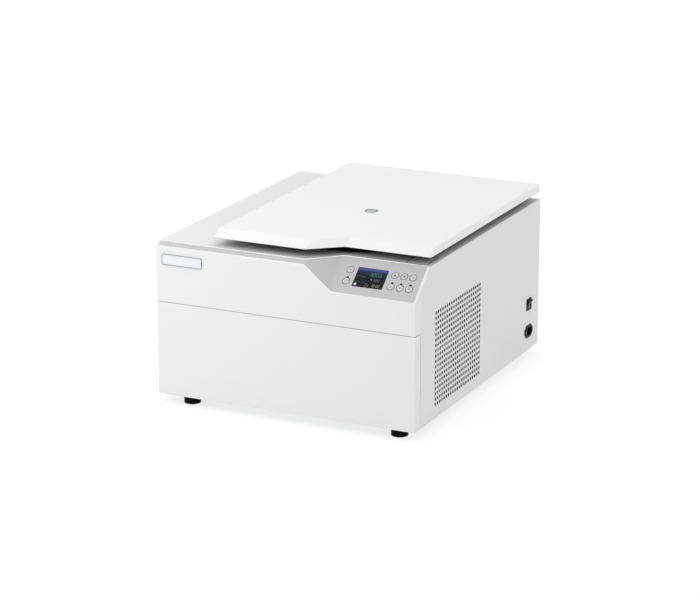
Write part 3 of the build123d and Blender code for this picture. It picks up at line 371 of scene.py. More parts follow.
class Group(Wiring):
    """A shader node group with named inputs and outputs."""

    def __init__(self, name: str, inputs: dict[str, str], outputs: dict[str, str]) -> None:
        """Makes the group's sockets.

        Args:
            name: The group's name.
            inputs: Kinds of socket by input name.
            outputs: Kinds of socket by output name.
        """
        super().__init__(bpy.data.node_groups.new(name, "ShaderNodeTree"))
        for side, sockets in (("INPUT", inputs), ("OUTPUT", outputs)):
            for label, kind in sockets.items():
                self.tree.interface.new_socket(label, in_out=side, socket_type=f"NodeSocket{kind}")
        self.given = self.tree.nodes.new("NodeGroupInput").outputs
        self.exit = self.tree.nodes.new("NodeGroupOutput")


def tone_group() -> bpy.types.NodeTree:
    """Slow drift of a colour: the colour times 1 + spread * (noise - 0.5).

    Returns:
        The group's tree.
    """
    group = Group(
        "tone_drift", {"Vector": "Vector", "Colour": "Color", "Scale": "Float", "Spread": "Float"},
        {"Colour": "Color"},
    )
    given = group.given
    inputs = {"Vector": given["Vector"], "Scale": given["Scale"], "Detail": TONE_DETAIL}
    centred = group.math("SUBTRACT", group.node("TexNoise", inputs).outputs["Fac"], 0.5)
    swing = group.math("MULTIPLY_ADD", centred, given["Spread"], 1.0)
    scaled = group.node("VectorMath", {0: given["Colour"], "Scale": swing}, operation="SCALE")
    group.feed(group.exit, {"Colour": scaled.outputs["Vector"]})
    return group.tree


def grain_group() -> bpy.types.NodeTree:
    """Fine surface grain: a coarse noise and a share of a finer one, on stretched coordinates.

    Returns:
        The group's tree.
    """
    group = Group(
        "surface_grain", {
            "Vector": "Vector", "Stretch": "Vector", "Scale": "Float", "Low": "Float",
            "High": "Float",
        }, {"Height": "Float", "Gloss": "Float"},
    )
    given = group.given
    stretched = group.node(
        "VectorMath", {0: given["Vector"], 1: given["Stretch"]}, operation="MULTIPLY"
    ).outputs["Vector"]
    scales = (given["Scale"], group.math("MULTIPLY", given["Scale"], FINE_SCALE))
    coarse, fine = (
        group.node("TexNoise", {
            "Vector": stretched, "Scale": scale, "Detail": NOISE_DETAIL,
        }).outputs["Fac"]
        for scale in scales
    )
    gloss = group.node(
        "MapRange", {"Value": coarse, "To Min": given["Low"], "To Max": given["High"]}
    ).outputs["Result"]
    height = group.math("MULTIPLY_ADD", fine, FINE_SHARE, coarse)
    group.feed(group.exit, {"Height": height, "Gloss": gloss})
    return group.tree


def track_group() -> bpy.types.NodeTree:
    """Copper tracks under green lacquer: the edges of a cell pattern, as a mask.

    Returns:
        The group's tree.
    """
    group = Group("board_tracks", {"Vector": "Vector", "Scale": "Float"}, {"Mask": "Float"})
    inputs = {label: group.given[label] for label in ("Vector", "Scale")}
    edge = group.node("TexVoronoi", inputs, feature="DISTANCE_TO_EDGE").outputs["Distance"]
    group.feed(group.exit, {"Mask": group.math("LESS_THAN", edge, TRACK_WIDTH)})
    return group.tree


class Groups:
    """The shader groups that the finishes share, each made once."""

    def __init__(self) -> None:
        """Builds every group."""
        self.tone, self.grain, self.tracks = tone_group(), grain_group(), track_group()


# ------------------------------------------------------------------ finishes
@dataclass(frozen=True)
class Finish:
    """A surface finish. Roughness drifts between its two values with the grain.

    Grain scale is in cells a metre, stretch squeezes the grain along each axis, and grain depth is
    the height of its relief.
    """

    name: str
    colour: Triple
    roughness: tuple[float, float] = (0.4, 0.5)
    metallic: float = 0.0
    tone_scale: float = 6.0
    tone_spread: float = 0.02
    grain_scale: float = 900.0
    grain_stretch: Triple = (1.0, 1.0, 1.0)
    grain_depth: float = 0.00002
    grain_strength: float = 0.2
    coat: float = 0.0
    coat_roughness: float = 0.1
    ior: float = 1.5
    transmission: float = 0.0
    glow: float = 0.0

    def material(self, groups: Groups) -> bpy.types.Material:
        """Builds the material.

        Args:
            groups: The shared shader groups.

        Returns:
            The finished material.
        """
        made = bpy.data.materials.new(self.name)
        made.use_nodes = True
        wiring = Wiring(made.node_tree)
        place = wiring.node("TexCoord").outputs["Object"]
        tone = wiring.node("Group", {
            "Vector": place, "Colour": linear(self.colour), "Scale": self.tone_scale,
            "Spread": self.tone_spread,
        }, node_tree=groups.tone)
        colour = self.pattern(wiring, groups, place, tone.outputs["Colour"])
        low, high = self.roughness
        grain = wiring.node("Group", {
            "Vector": place, "Stretch": self.grain_stretch, "Scale": self.grain_scale, "Low": low,
            "High": high,
        }, node_tree=groups.grain)
        relief = wiring.node("Bump", {
            "Strength": self.grain_strength, "Distance": self.grain_depth,
            "Height": grain.outputs["Height"],
        })
        surface = made.node_tree.nodes["Principled BSDF"]
        wiring.feed(surface, {
            "Base Color": colour, "Roughness": grain.outputs["Gloss"],
            "Normal": relief.outputs["Normal"], "Metallic": self.metallic, "IOR": self.ior,
            "Coat Weight": self.coat, "Coat Roughness": self.coat_roughness,
            "Transmission Weight": self.transmission,
        })
        if self.glow > 0:
            wiring.feed(surface, {"Emission Color": colour, "Emission Strength": self.glow})
        return made

    def pattern(self, wiring: Wiring, groups: Groups, place: Socket, colour: Socket) -> Socket:
        """The colour with the finish's own pattern on it, which is none for a plain finish."""
        return colour


@dataclass(frozen=True)
class BoardFinish(Finish):
    """Green lacquer over copper tracks."""

    track_colour: Triple = (60, 132, 78)
    track_scale: float = 140.0

    def pattern(self, wiring: Wiring, groups: Groups, place: Socket, colour: Socket) -> Socket:
        """The lacquer's colour with paler tracks on it."""
        tracks = wiring.node("Group", {
            "Vector": place, "Scale": self.track_scale,
        }, node_tree=groups.tracks)
        return wiring.mix(tracks.outputs["Mask"], colour, self.track_colour)


@dataclass(frozen=True)
class GradedFinish(Finish):
    """A finish whose colour changes to a second one between two heights, in the model's Z."""

    top_colour: Triple = (255, 255, 255)
    low: float = 0.0
    high: float = 1.0

    def pattern(self, wiring: Wiring, groups: Groups, place: Socket, colour: Socket) -> Socket:
        """Brings in the second colour towards the top.

        Args:
            wiring: The material's tree.
            groups: The shared shader groups, not used here.
            place: The place on the piece.
            colour: The finish's own colour.

        Returns:
            The finish's own colour at the bottom, and the second one at the top.
        """
        height = wiring.node("SeparateXYZ", {"Vector": place}).outputs["Z"]
        rise = wiring.node(
            "MapRange", {"Value": height, "From Min": self.low, "From Max": self.high},
            interpolation_type="SMOOTHSTEP",
        )
        return wiring.mix(rise.outputs["Result"], colour, self.top_colour)


class Choice(Enum):
    """A choice among finishes, whose value is the finish's name."""

    finish: Finish

    def __new__(cls, finish: Finish) -> "Choice":
        """Makes one choice.

        Args:
            finish: Its finish.

        Returns:
            The choice.
        """
        made = object.__new__(cls)
        made._value_ = finish.name
        made.finish = finish
        return made


class Slot(Choice):
    """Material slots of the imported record."""

    WHITE_COVER = Finish(
        "white_cover", (236, 236, 236), (0.42, 0.5), tone_spread=0.015, grain_scale=1400.0,
        grain_depth=0.00003, grain_strength=0.25,
    )
    WHITE_MOULDING = Finish(
        "white_moulding", (237, 237, 237), (0.3, 0.36), tone_spread=0.012, grain_scale=700.0,
        grain_depth=0.00001, coat=0.2,
    )
    WHITE_LID = Finish(
        "white_lid", (245, 245, 246), (0.3, 0.36), tone_spread=0.012, grain_scale=500.0,
        grain_depth=0.00001, coat=0.25,
    )
    GREY_INLAY = Finish(
        "grey_inlay", (196, 196, 196), (0.42, 0.5), grain_scale=2600.0, grain_depth=0.00001,
    )
    STEEL_SHEET = Finish(
        "steel_sheet", (168, 171, 174), (0.34, 0.46), 1.0, tone_spread=0.08,
        grain_scale=120.0, grain_stretch=(1.0, 14.0, 14.0),
    )
    STAINLESS = Finish(
        "stainless", (196, 198, 201), (0.2, 0.34), 1.0, tone_spread=0.05, grain_scale=160.0,
        grain_stretch=(1.0, 1.0, 18.0),
    )
    BRIGHT_STEEL = Finish(
        "bright_steel", (205, 206, 208), (0.14, 0.24), 1.0, tone_spread=0.04,
        grain_scale=300.0, grain_stretch=(12.0, 1.0, 1.0),
    )
    BLACK_RUBBER = Finish(
        "black_rubber", (8, 8, 9), (0.75, 0.85), tone_spread=0.2, grain_scale=1500.0,
        grain_depth=0.00005, grain_strength=0.35, ior=1.2,
    )
    BLACK_PLASTIC = Finish(
        "black_plastic", (16, 16, 18), tone_spread=0.1, grain_scale=1800.0,
        grain_depth=0.00004, grain_strength=0.3, ior=1.25,
    )
    LIGHT_KEY = Finish(
        "light_key", (204, 204, 203), (0.4, 0.48), grain_scale=2200.0, grain_depth=0.00001,
    )
    LED = Finish("led", (6, 6, 7), (0.3, 0.36), tone_spread=0.05, ior=1.2)
    DISPLAY = Finish("display", (12, 16, 32), (0.1, 0.14), tone_spread=0.05, ior=1.25)
    CIRCUIT_BOARD = BoardFinish(
        "circuit_board", (28, 92, 52), (0.3, 0.4), tone_spread=0.08, coat=0.3,
    )
    PORT_GLASS = Finish(
        "port_glass", (178, 179, 180), (0.16, 0.24), tone_spread=0.03, coat=0.4,
        transmission=0.15,
    )
    PORT_TRIM = Finish(
        "port_trim", (132, 133, 135), (0.34, 0.42), tone_spread=0.04, grain_scale=1500.0,
    )
    FOAM = Finish(
        "foam", (40, 40, 42), (0.85, 0.95), tone_spread=0.15, tone_scale=20.0,
        grain_scale=420.0, grain_depth=0.0004, grain_strength=0.8,
    )
    CAST_ALUMINIUM = Finish(
        "cast_aluminium", (200, 202, 205), (0.28, 0.4), 1.0, tone_spread=0.05,
        grain_depth=0.00003,
    )
    BLACK_MOTOR = Finish(
        "black_motor", (38, 38, 40), (0.3, 0.42), tone_spread=0.12, grain_scale=700.0,
        coat=0.3,
    )
    ALUMINIUM_FINS = Finish(
        "aluminium_fins", (126, 130, 134), (0.3, 0.42), 1.0, tone_spread=0.06,
        grain_scale=200.0, grain_stretch=(1.0, 1.0, 10.0),
    )


class Ink(Choice):
    """Finishes of printed and lit marks, which no slot of the model has."""

    RING = Finish("ring_ink", (80, 80, 81), (0.45, 0.5), ior=1.3)
    DARK = Finish("dark_ink", (12, 12, 13), (0.45, 0.5), ior=1.2)
    SOFT = Finish("soft_ink", (100, 100, 101), (0.45, 0.5), ior=1.3)
    WHITE = Finish("white_ink", (232, 232, 232), (0.45, 0.5))
    BADGE = Finish("badge_face", (236, 238, 242), (0.2, 0.26), coat=0.5)
    CONTACT = Finish("contact_metal", (112, 109, 100), metallic=1.0)
    DULL_SCREW = Finish("dull_screw", (96, 96, 97), metallic=1.0, tone_spread=0.1)
    # painted highlight: the near-white gloss of the beads along the sloping band's edges
    TRIM_HIGHLIGHT = Finish("edge_trim_painted_highlight", (253, 253, 253), (0.25, 0.3), coat=0.4)
    # painted shade: the grey of the raised frame stands in for the shade along the plaque's edges
    FRAME_SHADE = Finish("plaque_frame_painted_shade", (158, 160, 164), (0.35, 0.42), tone_spread=0.06)
    SEAL = Finish("seal_black", (16, 16, 17), (0.6, 0.7), ior=1.2)
    GREEN = Finish("screen_green", (52, 116, 94), glow=0.2, ior=1.25)
    LIME = Finish("screen_lime", (132, 142, 88), glow=0.2, ior=1.25)
    OLIVE = Finish("screen_olive", (122, 112, 80), glow=0.18, ior=1.25)
    CYAN = Finish("screen_cyan", (90, 136, 168), glow=0.2, ior=1.25)
    BROWN = Finish("screen_brown", (112, 96, 98), glow=0.15, ior=1.25)
    TEAL = Finish("screen_teal", (82, 102, 116), glow=0.18, ior=1.25)
    GLOW = Finish("screen_white", (236, 240, 244), glow=0.6)
    VIOLET = Finish("screen_violet", (70, 70, 130), glow=0.25, ior=1.25)


NODE_INKS: dict[str, Ink] = {"inlet_screws": Ink.DULL_SCREW}


def added(name: str, data: bpy.types.ID) -> bpy.types.Object:
    """Puts a new object into the scene.

    Args:
        name: The object's name.
        data: Its mesh, lamp or camera.

    Returns:
        The object, at the origin.
    """
    made = bpy.data.objects.new(name, data)
    bpy.context.scene.collection.objects.link(made)
    return made


@dataclass
class Workshop:
    """Turns forms into pieces, dresses them and puts them on their bodies.

    The lid's painted shade, a dark grey on its underside that darkens the gap under the lid, ends
    between two heights above the lid's lowest point.
    """

    # painted shade: dark grey on the lid's flat underside, which darkens the gap under the lid
    underside_painted_shade: Triple = (52, 52, 53)
    underside_shade_rise: tuple[float, float] = (0.1 * MM, 0.5 * MM)

    def __post_init__(self) -> None:
        """Builds the material of every slot and ink."""
        self.groups = Groups()
        self.materials = {choice: choice.finish.material(self.groups) for choice in (*Slot, *Ink)}

    def dress_model(self) -> None:
        """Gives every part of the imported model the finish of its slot, or its own."""
        own = {node: self.materials[ink] for node, ink in NODE_INKS.items()}
        own["lid_shell"] = self.lid_finish_with_shade().material(self.groups)
        for subpart in frame["record"]["subparts"]:
            node = frame["nodes"][subpart["node"]]
            finish = own.get(subpart["node"], self.materials[Slot(subpart["material_slot"])])
            node.data.materials.clear()
            node.data.materials.append(finish)
            LOG.info("dressed %s in %s", subpart["node"], finish.name)

    def lid_finish_with_shade(self) -> GradedFinish:
        """Mixes the lid's own finish.

        Returns:
            The white gloss of the lid's slot, with painted shade in dark grey on the flat
            underside.
        """
        white = asdict(Slot.WHITE_LID.finish)
        low, high = (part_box("lid_shell")[0].z + rise for rise in self.underside_shade_rise)
        # painted shade: the lid's colour turns dark grey just above its lowest point
        white.update(name="lid_gloss_painted_shade", colour=self.underside_painted_shade, top_colour=white["colour"])
        return GradedFinish(**white, low=low, high=high)

    def piece(
        self, name: str, form: Form, body: Body, slot: Slot, ink: Ink | None = None,
        smooth: bool = False, replaces: Sequence[str] = (),
    ) -> bpy.types.Object:
        """Makes one piece.

        Args:
            name: The piece's name.
            form: Its mesh, in the model's axes.
            body: The body it rides on.
            slot: The model's slot its finish belongs to.
            ink: Its own finish, where that isn't the slot's.
            smooth: Whether its facets are shaded as one curved surface.
            replaces: Parts of the model that it stands for.

        Returns:
            The new object.
        """
        mesh = bpy.data.meshes.new(name)
        mesh.from_pydata(form.points.tolist(), [], form.faces)
        mesh.validate()
        mesh.polygons.foreach_set("use_smooth", np.full(len(mesh.polygons), smooth))
        mesh.materials.append(self.materials[ink or slot])
        made = added(name, mesh)
        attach(made, body.value)
        if replaces:
            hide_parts(*replaces)
        LOG.info("made %s with %d faces on %s", name, len(form.faces), body.value)
        return made


def node_points(node: str) -> Array:
    """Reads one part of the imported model.

    Args:
        node: The part's name.

    Returns:
        All its points, in rows of three.
    """
    mesh = frame["nodes"][node].data
    values = np.empty(len(mesh.vertices) * 3)
    mesh.vertices.foreach_get("co", values)
    return values.reshape(-1, 3)


# ------------------------------------------------------------------ control panel
@dataclass(frozen=True)
class Symbol:
    """A plain mark on a key, drawn in units of its size."""

    key: Body
    size: float
    ink: Ink
    shapes: tuple[Form, ...]


TRIANGLE = circle(1.0, 3, pi / 2)
DASH = prism(rounded_rectangle(1.9, 0.42, 0.15))
SYMBOLS = (
    Symbol(
        Body.KEY_LEFT_UPPER, 1.6 * MM, Ink.SOFT, (DASH.shifted(0, 0.45), DASH.shifted(0, -0.45))
    ),
    Symbol(Body.KEY_LEFT_LOWER, 1.7 * MM, Ink.SOFT, (prism(circle(0.6, 20)),)),
    Symbol(Body.KEY_UPPER_1, 2.7 * MM, Ink.DARK, (prism(TRIANGLE),)),
    Symbol(Body.KEY_UPPER_2, 2.7 * MM, Ink.DARK, (prism(-TRIANGLE),)),
    Symbol(Body.KEY_UPPER_3, 2.0 * MM, Ink.SOFT, (DASH,)),
    Symbol(Body.KEY_LOWER_1, 1.7 * MM, Ink.SOFT, (prism(circle(1.0, 3)),)),
    Symbol(Body.KEY_LOWER_2, 1.5 * MM, Ink.DARK, (prism(rounded_rectangle(1.5, 1.1, 0.1, 2)),)),
    Symbol(Body.KEY_LOWER_3, 1.6 * MM, Ink.SOFT, (hoop(0.75, 1.1, 24),)),
)


@dataclass
class ControlPanel:
    """Marks of the sloping panel's keys and lamps."""

    shop: Workshop
    print_depth: float = 0.04 * MM
    ring_stroke: float = 0.75 * MM
    ring_gap: float = 0.42 * MM
    ring_sides: int = 48
    lamp_stroke: float = 0.7 * MM
    lamp_gap: float = 0.2 * MM
    lamp_sides: int = 32
    lamp_spacing: float = 6.0 * MM
    lamp_decimals: int = 3
    edge_depth: float = 1.0 * MM

    def __post_init__(self) -> None:
        """Finds the panel's plane from the direction in which its keys are pressed."""
        press = next(
            joint["axis"] for joint in frame["record"]["behaviour"]["joints"]
            if joint["name"] == "key_lower_1_press"
        )
        out = -np.array(press, float)
        out /= np.linalg.norm(out)
        low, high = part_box("control_inlay")
        up = np.cross(out, (1.0, 0.0, 0.0))
        self.plane = Plane((high.x, low.y, low.z), (1.0, 0.0, 0.0), tuple(up))
        inlay = self.plane.from_model(node_points("control_inlay"))
        self.face = float(inlay[inlay[:, 1] < self.edge_depth][:, 2].max())

    def top_of(self, node: str) -> Array:
        """The points of a part's top face, in the panel's coordinates."""
        points = self.plane.from_model(node_points(node))
        return points[points[:, 2] > points[:, 2].max() - HAIR]

    def build(self) -> None:
        """Makes every mark."""
        self.rings()
        self.lamps()
        self.symbols()

    def printed(self, name: str, forms: Iterable[Form], ink: Ink, slot: Slot) -> None:
        """Prints flat forms on the panel as one mark."""
        form = joined(forms).scaled(1.0, self.print_depth).shifted(0, 0, self.face)
        self.shop.piece(name, form.placed(self.plane), Body.CABINET, slot, ink)

    def rings(self) -> None:
        """Prints a ring round every key."""
        rings = []
        for node in sorted(node for node in frame["nodes"] if node.startswith("key_")):
            (right, up, _), size = middle_and_size(self.top_of(node))
            inner = float(size[:2].max() / 2) + self.ring_gap
            rings.append(hoop(inner, inner + self.ring_stroke, self.ring_sides).shifted(right, up))
        self.printed("key_rings", rings, Ink.RING, Slot.GREY_INLAY)

    def lamps(self) -> None:
        """Prints a dark rim round every lamp."""
        top = self.top_of("indicator_leds")
        (_, up, _), (_, width, _) = middle_and_size(top)
        inner = width / 2 + self.lamp_gap
        rim = hoop(inner, inner + self.lamp_stroke, self.lamp_sides)
        columns = np.unique(top[:, 0].round(self.lamp_decimals))
        breaks = np.flatnonzero(np.diff(columns) > self.lamp_spacing) + 1
        rims = [rim.shifted((run.min() + run.max()) / 2, up) for run in np.split(columns, breaks)]
        self.printed("lamp_rims", rims, Ink.DARK, Slot.LED)

    def symbols(self) -> None:
        """Prints a plain symbol on every key, which moves with it."""
        for symbol in SYMBOLS:
            key = symbol.key.value
            top = self.top_of(key)
            (right, up, _), _ = middle_and_size(top)
            form = joined(symbol.shapes).scaled(symbol.size, self.print_depth)
            placed = form.shifted(right, up, top[:, 2].max()).placed(self.plane)
            self.shop.piece(f"{key}_symbol", placed, symbol.key, Slot.LIGHT_KEY, symbol.ink)


SEGMENTS: dict[str, str] = {
    "0": "abcdef", "1": "bc", "2": "abged", "3": "abgcd", "4": "fgbc", "5": "afgcd", "6": "afgedc",
    "7": "abc", "8": "abcdefg", "9": "abfgcd",
}


@dataclass(frozen=True)
class Typeface:
    """Seven-segment digits and colons. Their sizes are shares of a digit's height."""

    width: float = 0.52
    stroke: float = 0.14
    corner: float = 0.056
    advance: float = 0.82
    colon_advance: float = 0.32
    dot_radius: float = 0.08
    dot_sides: int = 10
    dot_levels: tuple[float, float] = (0.3, 0.7)

    def digit(self, character: str) -> list[Form]:
        """Draws a digit one unit high.

        Args:
            character: The digit.

        Returns:
            Its bars, its lower left corner at the origin.
        """
        lying, standing = (
            prism(rounded_rectangle(*size, self.corner))
            for size in ((self.width, self.stroke), (self.stroke, 0.5))
        )
        middle, right = self.width / 2, self.width
        centres = {
            "a": (middle, 1.0), "g": (middle, 0.5), "d": (middle, 0.0), "f": (0.0, 0.75),
            "b": (right, 0.75), "e": (0.0, 0.25), "c": (right, 0.25),
        }
        return [
            (lying if bar in "agd" else standing).shifted(*centres[bar])
            for bar in SEGMENTS[character]
        ]

    def row(self, text: str, height: float) -> Form:
        """Draws a number.

        Args:
            text: Its digits and colons.
            height: The digits' height.

        Returns:
            The number, its lower left corner at the origin.
        """
        dot = prism(circle(self.dot_radius, self.dot_sides))
        forms: list[Form] = []
        cursor = 0.0
        for character in text:
            if character == ":":
                forms += [dot.shifted(cursor, share) for share in self.dot_levels]
                cursor += self.colon_advance
            else:
                forms += [bar.shifted(cursor, 0) for bar in self.digit(character)]
                cursor += self.advance
        return joined(forms).scaled(height, 1.0)


@dataclass(frozen=True)
class Readout:
    """A number on the screen. Its digits' height and its place from the middle are in mm."""

    name: str
    text: str
    height: float
    right: float
    up: float
    ink: Ink


@dataclass(frozen=True)
class DashedLine:
    """A row of dashes that hints at small print. Its places from the screen's middle are in mm."""

    name: str
    ink: Ink
    up: float
    places: tuple[float, ...]


READOUTS = (
    Readout("screen_speed", "3000", 7.4, -3.0, 4.4, Ink.GREEN),
    Readout("screen_time", "10:00", 5.0, 6.4, -18.0, Ink.LIME),
    Readout("screen_count", "25", 5.0, -6.2, -18.0, Ink.OLIVE),
    Readout("screen_level", "4", 5.0, 1.0, -5.4, Ink.CYAN),
    Readout("screen_force", "920", 4.6, 8.2, -5.8, Ink.BROWN),
)
DASHED_LINES = (
    DashedLine("screen_label_upper", Ink.BROWN, 2.2, (-25.5, -22.4, -18.0, -14.9, -11.8)),
    DashedLine("screen_label_lower", Ink.TEAL, -9.8, (-24.5, -21.4, -18.3, -13.6, -10.5)),
)


@dataclass
class ScreenPicture:
    """The lit picture: a dark ground, a bar along the top, numbers and short dim lines."""

    shop: Workshop
    panel: ControlPanel
    layer_depth: float = 0.04 * MM
    ground_colour: Triple = (16, 21, 29)
    top_colour: Triple = (52, 54, 92)
    glow_above: float = 6.0 * MM
    ground_corner: float = 0.5 * MM
    bar_height: float = 5.2 * MM
    bar_margin: tuple[float, float] = (0.6 * MM, 0.5 * MM)
    bar_corner: float = 0.4 * MM
    dot_radius: float = 2.1 * MM
    dot_sides: int = 28
    dot_place: tuple[float, float] = (-25.0 * MM, -15.8 * MM)
    dash: tuple[float, float, float] = (2.2 * MM, 0.9 * MM, 0.3 * MM)

    def __post_init__(self) -> None:
        """Measures the glass."""
        top = self.panel.top_of("display_module")
        middle, size = middle_and_size(top)
        self.middle, (self.width, self.height) = middle[:2], size[:2]
        self.level = float(top[:, 2].max())

    def layer(
        self, name: str, form: Form, right: float, up: float, ink: Ink | None, under: int = 1
    ) -> bpy.types.Object:
        """Puts one flat layer of the picture on the glass.

        Args:
            name: The piece's name.
            form: The layer, one unit thick.
            right: Its place from the screen's middle.
            up: Its place from the screen's middle.
            ink: Its finish.
            under: How many layers lie under it.

        Returns:
            The new object.
        """
        x, y = self.middle[0] + right, self.middle[1] + up
        flat = form.shifted(0, 0, under).scaled(1.0, self.layer_depth).shifted(x, y, self.level)
        placed = flat.placed(self.panel.plane)
        return self.shop.piece(name, placed, Body.CABINET, Slot.DISPLAY, ink)

    def build(self) -> None:
        """Makes the ground and what is shown on it."""
        self.ground()
        side, above = self.bar_margin
        bar = rounded_rectangle(self.width - 2 * side, self.bar_height, self.bar_corner)
        rise = self.height / 2 - self.bar_height / 2 - above
        self.layer("screen_bar", prism(bar), 0, rise, Ink.VIOLET)
        for readout in READOUTS:
            row = Typeface().row(readout.text, readout.height * MM)
            self.layer(readout.name, row, readout.right * MM, readout.up * MM, readout.ink)
        dot = prism(circle(self.dot_radius, self.dot_sides))
        self.layer("screen_dot", dot, *self.dot_place, Ink.GLOW)
        dash = prism(rounded_rectangle(*self.dash))
        for line in DASHED_LINES:
            dashes = joined(dash.shifted(place * MM, 0) for place in line.places)
            self.layer(line.name, dashes, 0, line.up * MM, line.ink)

    def ground(self) -> None:
        """Makes the dark ground, which gets lighter and bluer towards the top."""
        form = prism(rounded_rectangle(self.width, self.height, self.ground_corner))
        made = self.layer("screen_ground", form, 0, 0, None, under=0)
        half = self.height / 2
        ends = [[self.middle[0], self.middle[1] + rise, self.level] for rise in (-half, half)]
        heights = self.panel.plane.to_model(np.array(ends))[:, 2]
        lit = GradedFinish(
            "screen_ground", self.ground_colour, (0.12, 0.16), glow=0.3, ior=1.25, tone_scale=60.0,
            tone_spread=0.6, top_colour=self.top_colour, low=float(heights.mean()),
            high=float(heights[1]) + self.glow_above,
        )
        made.data.materials[0] = lit.material(self.shop.groups)


# ------------------------------------------------------------------ covers
@dataclass
class VentPanel:
    """Right cover with its grille of round holes."""

    shop: Workshop
    columns: int = 21
    rows: int = 18
    column_pitch: float = 10.23 * MM
    row_pitch: float = 10.33 * MM
    hole_radius: float = 3.6 * MM
    hole_count: int = 24
    from_front: float = 194.5 * MM
    height: float = 114.7 * MM
    skin: float = 0.6 * MM
    cover_wall: float = 3.0 * MM
    seam_lip: float = 12.0 * MM
    cut_depth: float = 1.0 * MM

    def build(self) -> None:
        """Makes the cover in place of the model's, and the lip behind its front seam."""
        low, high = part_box("right_side_panel")
        front = low.y + self.seam_lip
        points = node_points("right_side_panel")
        outer = points[points[:, 0] > high.x - HAIR]
        slope_foot = float(outer[np.abs(outer[:, 1] - front) < HAIR][:, 2].max())
        slope_head = float(outer[outer[:, 2] > high.z - HAIR][:, 1].min())
        outline = np.array([
            [front, low.z], [high.y, low.z], [high.y, high.z], [slope_head, high.z],
            [front, slope_foot],
        ])
        made = self.shop.piece(
            "vented_right_cover", on_side(self.sheet(outline), high.x), Body.CABINET,
            Slot.WHITE_COVER, replaces=["right_side_panel"],
        )
        wall = made.modifiers.new("wall", "SOLIDIFY")
        wall.thickness = self.skin
        wall.offset = -1.0
        bottom = points[points[:, 1] < front - 10 * HAIR][:, 2].min()
        rise = (high.z - slope_foot) / (slope_head - front)
        first, last = front - self.seam_lip, front + self.seam_lip
        strip = np.array([
            [first, bottom], [last, bottom], [last, slope_foot + rise * (last - front)],
            [first, slope_foot + rise * (first - front)],
        ])
        form = prism(strip, -2 * self.cover_wall, -self.cover_wall)
        self.shop.piece("right_seam_lip", on_side(form, high.x), Body.CABINET, Slot.WHITE_COVER)

    def cutout(self, node: str) -> tuple[float, float, float, float]:
        """Measures a part where it passes through the cover.

        Args:
            node: The part's name.

        Returns:
            Its front, rear, bottom and top there.
        """
        points = node_points(node)
        inner = points[points[:, 0] < points[:, 0].min() + self.cut_depth]
        low, high = inner.min(axis=0), inner.max(axis=0)
        return (float(low[1]), float(high[1]), float(low[2]), float(high[2]))

    def sheet(self, outline: Array) -> Form:
        """The cover's outer face, as one joined surface.

        Every hole is a ring of quads from its rim to its cell: a rim point (r cos t, r sin t) joins
        the point of the cell in the same direction, which is (cos t, sin t) / max(|cos t|, |sin t|)
        times half of the two pitches. Flat polygons fill the rest, and take in every point that
        lies on their edges.

        Args:
            outline: The face's five corners as rows of (y, z), anticlockwise from the lower front.

        Returns:
            The face as a form flat in (y, z).
        """
        centre = (
            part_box("front_fascia")[0].y + self.from_front, float(outline[0, 1]) + self.height
        )
        pitch = np.array([self.column_pitch, self.row_pitch])
        half = np.array([self.columns, self.rows]) * pitch / 2
        first, last = centre - half, centre + half
        middles = [
            start + (np.arange(count) + 0.5) * step
            for start, count, step in zip(first, (self.columns, self.rows), pitch)
        ]
        holes = np.stack(np.meshgrid(*middles, indexing="ij"), axis=2).reshape(-1, 1, 2)
        unit = circle(1.0, self.hole_count)
        cell = unit / np.abs(unit).max(axis=1, keepdims=True) * pitch / 2
        polygons = self.surround(outline, first, last)
        rims, cells = ((holes + spoke).reshape(-1, 2) for spoke in (self.hole_radius * unit, cell))
        loose = np.concatenate([rims, cells, *polygons])
        points, number_of = np.unique(loose.round(DECIMALS), axis=0, return_inverse=True)
        number_of = number_of.reshape(-1)

        here = np.arange(len(holes) * self.hole_count).reshape(-1, self.hole_count)
        after = np.roll(here, -1, axis=1)
        count = here.size
        rings = number_of[np.stack([here + count, after + count, after, here], axis=2)]
        faces = [tuple(quad) for quad in rings.reshape(-1, 4).tolist()]
        faces += [threaded(polygon, points) for polygon in polygons]
        return Form(raised(points, 0.0), faces)

    def surround(self, outline: Array, first: Array, last: Array) -> list[Array]:
        """Polygons that fill the face round the field of holes and round the two cutouts.

        Between the cutouts' outer sides they are stacked from the bottom up.

        Args:
            outline: The face's five corners.
            first: The field's lower front corner.
            last: The field's upper rear corner.

        Returns:
            The polygons' corners, each anticlockwise.
        """
        (front, bottom), (rear, _), (_, top) = outline[:3]
        cuts = [self.cutout(node) for node in ("mains_inlet", "power_switch_housing")]
        near, far = min(cut[0] for cut in cuts), max(cut[1] for cut in cuts)
        boxes = [
            (first[0], last[0], bottom, first[1]), (first[0], last[0], last[1], top),
            (last[0], near, bottom, top), (far, rear, bottom, top),
        ]
        level = bottom
        for y0, y1, z0, z1 in cuts:
            boxes += [(near, far, level, z0), (near, y0, z0, z1), (y1, far, z0, z1)]
            level = z1
        boxes.append((near, far, level, top))
        polygons = [
            np.array([[y0, z0], [y1, z0], [y1, z1], [y0, z1]])
            for y0, y1, z0, z1 in boxes if y1 - y0 > TINY
        ]
        nose = np.array([outline[0], [first[0], bottom], [first[0], top], outline[3], outline[4]])
        return [*polygons, nose]


